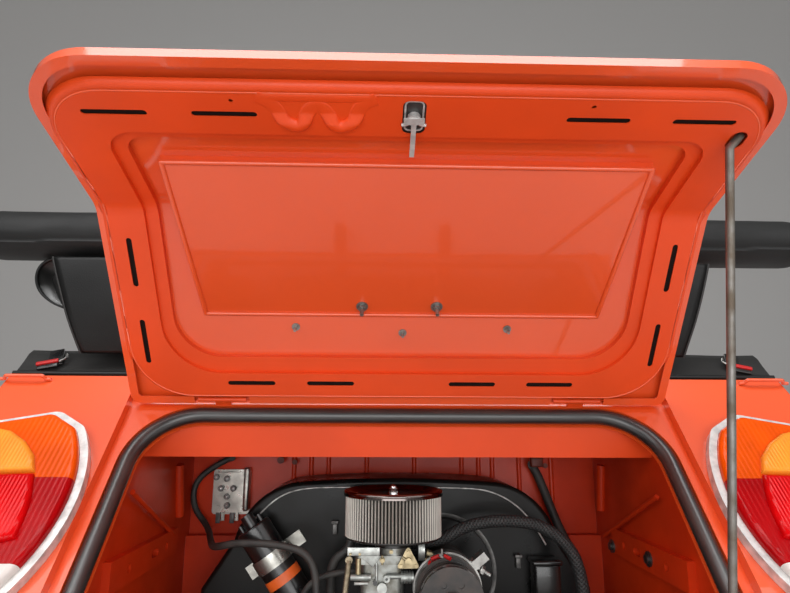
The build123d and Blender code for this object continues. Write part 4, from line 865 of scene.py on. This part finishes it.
def make_bulkhead_fittings():
    """Plugs and a small box along the top of the bulkhead."""
    fittings = bmesh.new()
    for x, z, radius in ((-0.237, -0.108, 0.007), (-0.208, -0.112, 0.005), (0.312, -0.118, 0.005)):
        lay_bar(fittings, (x, BULKHEAD_Y + 0.001, z), (x, BULKHEAD_Y - 0.004, z), radius, 24)
    lay_box(fittings, (0.293, BULKHEAD_Y - 0.006, -0.110), (0.026, 0.014, 0.020), 0.003)
    add_piece("bulkhead_plugs", fittings, "dark_orange")


def make_regulator_trim():
    """Rivets with their heads, plug-in tongues and the edge of the cover on the regulator.
    The dark ring round each rivet head is painted shadow, and the heads' pale plating is partly
    their own metal, partly painted highlight.
    """
    face = HINGE_Y + 0.2945
    trim, heads, shell = bmesh.new(), bmesh.new(), bmesh.new()
    for x, z in ((-0.366, -0.142), (-0.345, -0.145), (-0.356, -0.164), (-0.331, -0.164),
                 (-0.343, -0.180), (-0.342, -0.197)):
        # painted shadow: a dark ring round each rivet head; the pale head above it carries a
        # painted highlight
        lay_bar(trim, (x, face + 0.001, z), (x, face - 0.0022, z), 0.0062, 20)
        lay_ball(heads, (x, face - 0.0018, z), 0.0040)
    for x in (-0.360, -0.332):
        lay_box(trim, (x, face + 0.004, -0.219), (0.009, 0.0015, 0.026), 0.0004)
    lay_box(shell, (-0.306, face + 0.010, -0.166), (0.012, 0.018, 0.086), 0.004)
    add_piece("regulator_rivet_shadows_and_tongues", trim, "steel_dark", sharp=40)
    add_piece("regulator_rivet_heads", heads, "lock_plating", sharp=60)
    add_piece("regulator_cover_edge", shell, "bare_aluminium", sharp=40)


def make_shroud_trim():
    """The fan shroud's top edge with a painted highlight, the ring around its fan, its clips and
    the heater's flap box.
    The ring's grey metal on the black shroud is painted highlight.
    """
    face = HINGE_Y + 0.1488
    top = ((-0.268, -0.215), (-0.237, -0.180), (-0.204, -0.157), (-0.165, -0.1475),
           (-0.096, -0.1465), (0.0, -0.1465), (0.132, -0.1475), (0.169, -0.153),
           (0.201, -0.167), (0.226, -0.186), (0.249, -0.213), (0.267, -0.245))
    # painted highlight: a pale metal cord along the black shroud's rounded top edge
    lay_line("shroud_edge_highlight", [Vector((x, face, z)) for x, z in top], 0.0032, "painted_edge_highlight")
    # a ring proud of the shroud; its grey metal on the black shroud is painted highlight of its
    # round rim
    rings = bmesh.new()
    centre, count = Vector((0.076, face - 0.0022, -0.290)), 96
    bmesh.ops.create_circle(rings, segments=count, radius=0.100,
                            matrix=Matrix.Translation(centre) @ Matrix.Rotation(pi / 2, 4, "X"))
    for radius, back in ((0.093, 0.0), (0.090, 0.004)):
        rim = [edge for edge in rings.edges if edge.is_boundary or not edge.link_faces]
        for vert in new_verts(bmesh.ops.extrude_edge_only(rings, edges=rim[-count:])):
            out = Vector((vert.co.x - centre.x, 0, vert.co.z - centre.z)).normalized()
            vert.co = centre + Vector((0, back, 0)) + out * radius
    add_piece("fan_ring", rings, "steel_dark", sharp=80)
    clips = bmesh.new()
    for x, z in ((-0.112, -0.215), (0.215, -0.272), (-0.205, -0.262)):
        lay_box(clips, (x, face - 0.003, z), (0.009, 0.008, 0.024), 0.0015)
        lay_box(clips, (x, face - 0.008, z + 0.009), (0.013, 0.004, 0.006), 0.0012)
    add_piece("shroud_clips", clips, "steel_dark")
    box = bmesh.new()
    lay_box(box, (0.258, HINGE_Y + 0.128, -0.300), (0.046, 0.036, 0.062), 0.006)
    lay_box(box, (0.258, HINGE_Y + 0.128, -0.268), (0.052, 0.042, 0.008), 0.003)
    add_piece("heater_flap_box", box, "black_paint", sharp=45)


def make_carburettor_trim():
    """Pump cover, bosses, jets, caps and return springs on the carburettor."""
    front = HINGE_Y + 0.032
    cover = bmesh.new()
    pump = Vector((0.013, front - 0.004, -0.247))
    cover.faces.new([cover.verts.new(pump + Vector((x, 0, z)))
                     for x, z in ((0.0, 0.025), (-0.019, -0.009), (0.019, -0.009))])
    round_off(cover, cover.verts[:], 0.006, 4, "VERTICES")
    grown = bmesh.ops.extrude_face_region(cover, geom=cover.faces[:])
    bmesh.ops.translate(cover, verts=new_verts(grown), vec=(0, -0.006, 0))
    for x, z in ((0.0, 0.015), (-0.012, -0.005), (0.012, -0.005)):
        lay_screw(cover, pump + Vector((x, -0.005, z)), (0, -1, 0), 0.0030, 0.005)
    lay_bar(cover, pump + Vector((0, 0, 0.002)), pump + Vector((0, -0.013, 0.002)), 0.0055, 20)
    lay_bar(cover, pump + Vector((-0.010, -0.008, 0.008)), pump + Vector((0, -0.009, 0.002)),
            0.0022, 12)
    add_piece("pump_cover", cover, "brass", sharp=35)

    cast = bmesh.new()
    lay_box(cast, (-0.058, front - 0.001, -0.2325), (0.052, 0.003, 0.013), 0.001)
    lay_box(cast, (-0.047, front + 0.0012, -0.2410), (0.026, 0.003, 0.020), 0.001,
            Matrix.Rotation(radians(38), 4, "Y"))
    lay_bars(cast, front, (
        ((-0.078, 0.002, -0.2715), (-0.046, 0.002, -0.2715), 0.0050, 24),
        ((-0.072, -0.001, -0.2800), (-0.050, -0.001, -0.2800), 0.0026, 16),
        ((-0.021, 0.010, -0.2730), (-0.021, -0.005, -0.2730), 0.0052, 24),
        ((-0.028, 0.010, -0.2870), (-0.028, -0.003, -0.2870), 0.0080, 28),
        ((-0.021, 0.0, -0.2700), (0.004, 0.0, -0.2700), 0.0040, 20),
        ((0.002, 0.004, -0.272), (0.022, 0.004, -0.272), 0.0072, 24),
        ((0.030, 0.018, -0.232), (0.040, 0.018, -0.232), 0.0180, 36),
        ((-0.037, 0.001, -0.250), (-0.037, 0.001, -0.276), 0.0022, 12)))
    for k in range(5):
        x = 0.002 + 0.0042 * k
        lay_bar(cast, (x, front + 0.004, -0.272), (x + 0.0030, front + 0.004, -0.272), 0.0092, 28)
    add_piece("carburettor_bosses", cast, "light_casting", sharp=35)

    jets = bmesh.new()
    lay_screw(jets, (-0.028, front - 0.002, -0.245), (0, -1, 0), 0.0034, 0.007)
    lay_screw(jets, (-0.014, front - 0.001, -0.233), (0, -1, 0), 0.0026, 0.004)
    lay_screw(jets, (0.044, front + 0.016, -0.238), (1, 0, -0.2), 0.0050, 0.008)
    lay_bars(jets, front, (
        ((-0.028, -0.003, -0.238), (-0.028, -0.003, -0.252), 0.0017, 12),
        ((0.044, 0.016, -0.238), (0.058, 0.014, -0.241), 0.0028, 16),
        ((-0.079, -0.002, -0.236), (-0.079, -0.005, -0.236), 0.0020, 12),
        ((-0.064, -0.002, -0.236), (-0.064, -0.005, -0.236), 0.0020, 12),
        ((-0.066, 0.0, -0.243), (-0.066, 0.0, -0.266), 0.0044, 20),
        ((0.036, 0.010, -0.246), (0.046, 0.010, -0.246), 0.0016, 12)))
    add_piece("carburettor_jets", jets, "brass", sharp=35)

    caps = bmesh.new()
    lay_bars(caps, front, (((-0.039, 0.006, -0.279), (-0.039, -0.005, -0.279), 0.0036, 20),
                           ((-0.021, -0.004, -0.273), (-0.021, -0.0056, -0.273), 0.0020, 16)))
    add_piece("carburettor_caps", caps, "rubber", sharp=35)

    springs = bmesh.new()
    pitch = 0.0026
    for start, end in (((-0.081, front, -0.246), (-0.088, front, -0.310)),
                       ((-0.070, front + 0.004, -0.300), (-0.074, front + 0.004, -0.352))):
        start, end = Vector(start), Vector(end)
        turn = (end - start).to_track_quat("Z", "Y").to_matrix().to_4x4()
        coils = int((end - start).length / pitch)
        for k in range(coils):
            middle = start.lerp(end, (k + 0.5) / coils)
            bmesh.ops.create_cone(springs, cap_ends=True, segments=16, radius1=0.0040,
                                  radius2=0.0048, depth=0.0018,
                                  matrix=Matrix.Translation(middle) @ turn)
        lay_bar(springs, start, end, 0.0036, 12)
    lay_bar(springs, (-0.081, front - 0.002, -0.2455), (-0.081, front + 0.004, -0.2455),
            0.0058, 24)
    add_piece("return_springs", springs, "spring_plating", sharp=35)


def make_generator_trim():
    """The strap's clamp bolt, the red wire sleeves and a stud on the generator."""
    bolt = bmesh.new()
    lay_bar(bolt, (0.112, HINGE_Y + 0.048, -0.252), (0.146, HINGE_Y + 0.046, -0.272), 0.0042, 20)
    lay_screw(bolt, (0.118, HINGE_Y + 0.047, -0.2555), (-0.86, 0.05, 0.5), 0.0085, 0.007)
    lay_screw(bolt, (0.130, HINGE_Y + 0.047, -0.2625), (0.86, -0.05, -0.5), 0.0080, 0.007)
    add_piece("strap_bolt", bolt, "steel", sharp=35)
    sleeves = bmesh.new()
    for wire in (((0.050, 0.028, -0.243), (0.061, 0.024, -0.238), (0.068, 0.020, -0.240)),
                 ((0.047, 0.022, -0.246), (0.046, 0.014, -0.252)),
                 ((0.070, 0.016, -0.236), (0.078, 0.008, -0.239))):
        lay_chain(sleeves, [(x, HINGE_Y + y, z) for x, y, z in wire], 0.0030, 14)
    add_piece("generator_wire_sleeves", sleeves, "red_plastic", sharp=60)
    stud = bmesh.new()
    lay_bar(stud, (0.066, HINGE_Y + 0.020, -0.248), (0.066, HINGE_Y + 0.018, -0.226), 0.0022, 14)
    lay_screw(stud, (0.066, HINGE_Y + 0.019, -0.238), (0, 0, 1), 0.0048, 0.005)
    add_piece("generator_stud", stud, "steel", sharp=35)


def make_filter_nut():
    """The plated dome nut on its washer, on the filter's lid."""
    low, high = box_of("filter_lid")
    top = Vector(((low.x + high.x) / 2, (low.y + high.y) / 2, high.z - 0.009))
    bm = bmesh.new()
    lay_bar(bm, top - Vector((0, 0, 0.004)), top - Vector((0, 0, 0.0015)), 0.0105, 28)
    lay_bar(bm, top - Vector((0, 0, 0.002)), top + Vector((0, 0, 0.005)), 0.0075, 6)
    lay_ball(bm, top + Vector((0, 0, 0.0055)), 0.0056)
    add_piece("filter_nut", bm, "chrome", sharp=35)


make_filter_nut()
make_wall_beads()
make_bulkhead_fittings()
make_regulator_trim()
make_shroud_trim()
make_carburettor_trim()
make_generator_trim()
for row in HOSES:
    lay_hose(*row)


# Studio
def shade_studio(name, colour):
    """A matte, pale floor and backdrop."""
    material = bpy.data.materials.new(name)
    material.use_nodes = True
    nodes, link = tree_of(material)
    surface = nodes["Principled BSDF"]
    surface.inputs["Base Color"].default_value = (*colour, 1)
    surface.inputs["Roughness"].default_value = 0.9
    surface.inputs["Emission Color"].default_value = (*colour, 1)
    rays = nodes.new("ShaderNodeLightPath")
    glow = nodes.new("ShaderNodeMath")
    glow.operation = "MULTIPLY"
    glow.inputs[1].default_value = 0.20
    link(rays.outputs["Is Camera Ray"], glow.inputs[0])
    link(glow.outputs["Value"], surface.inputs["Emission Strength"])
    return material


def make_stage():
    """A floor under the lowest point, and a backdrop."""
    floor = bmesh.new()
    reach = 9.0
    for place in (Matrix.Translation((0, 2.0, cad_box[0][2] - 0.0005)),
                  Matrix.Translation((0, 6.0, 5.0)) @ Matrix.Rotation(pi / 2, 4, "X")):
        bmesh.ops.create_grid(floor, x_segments=1, y_segments=1, size=reach, matrix=place)
    mesh = bpy.data.meshes.new("studio_floor")
    floor.to_mesh(mesh)
    floor.free()
    mesh.materials.append(shade_studio("studio_white", (0.54, 0.53, 0.52)))
    stage = new_object("studio_floor", mesh)


def soft_light(name, place, target, size, power):
    """A rectangular light, turned to its target."""
    data = bpy.data.lights.new(name, "AREA")
    data.shape = "RECTANGLE"
    data.size, data.size_y = size
    data.energy = power
    light = new_object(name, data)
    light.location = place
    light.rotation_euler = (Vector(target) - Vector(place)).to_track_quat("-Z", "Y").to_euler()


def make_world():
    """Air that the camera sees brighter than it lights."""
    world = bpy.data.worlds.new("studio_air")
    world.use_nodes = True
    nodes, link = tree_of(world)
    air = nodes["Background"]
    air.inputs["Color"].default_value = (1.0, 0.99, 0.97, 1)
    rays = nodes.new("ShaderNodeLightPath")
    level = nodes.new("ShaderNodeMapRange")
    set_inputs(level, {"To Min": 0.17, "To Max": 0.62})
    link(rays.outputs["Is Camera Ray"], level.inputs["Value"])
    link(level.outputs["Result"], air.inputs["Strength"])
    bpy.context.scene.world = world


EYE = Vector((-0.0364, -1.3297, -0.0311))
YAW, PITCH, ROLL = radians(1.5187), radians(12.0), radians(0.2439)
FOCAL_PIXELS, PICTURE_PIXELS, SENSOR = 593.0, 790.0, 36.0


def make_camera():
    """The photograph's camera, solved on the straight edges of the lid and the panel."""
    forward = Vector((sin(YAW) * cos(PITCH), cos(YAW) * cos(PITCH), sin(PITCH)))
    level = Vector((cos(YAW), -sin(YAW), 0))
    upright = level.cross(forward)
    right = cos(ROLL) * level + sin(ROLL) * upright
    up = cos(ROLL) * upright - sin(ROLL) * level
    data = bpy.data.cameras.new("camera")
    data.lens = FOCAL_PIXELS / PICTURE_PIXELS * SENSOR
    camera = new_object("camera", data)
    camera.matrix_world = Matrix((right, up, -forward)).transposed().to_4x4()
    camera.location = EYE
    bpy.context.scene.camera = camera


make_stage()
make_world()
soft_light("overhead", (0.0, -1.6, 3.2), (0, -0.5, 0.0), (3.4, 2.2), 120)
soft_light("key", (-2.2, -2.6, 2.0), (0, -0.4, 0.1), (2.6, 2.6), 50)
soft_light("fill", (2.6, -2.4, 1.4), (0, -0.3, 0.0), (2.4, 2.4), 28)
soft_light("low", (0.0, -2.8, -0.2), (0, -0.3, -0.1), (2.4, 0.8), 22)
soft_light("horizon", (0.0, -3.6, 0.45), (0, -0.5, 0.25), (5.0, 0.35), 18)
soft_light("rim", (0.0, 2.2, 2.6), (0, 0, 0.2), (3.0, 1.4), 45)
make_camera()
bpy.context.scene.view_settings.view_transform = "Standard"
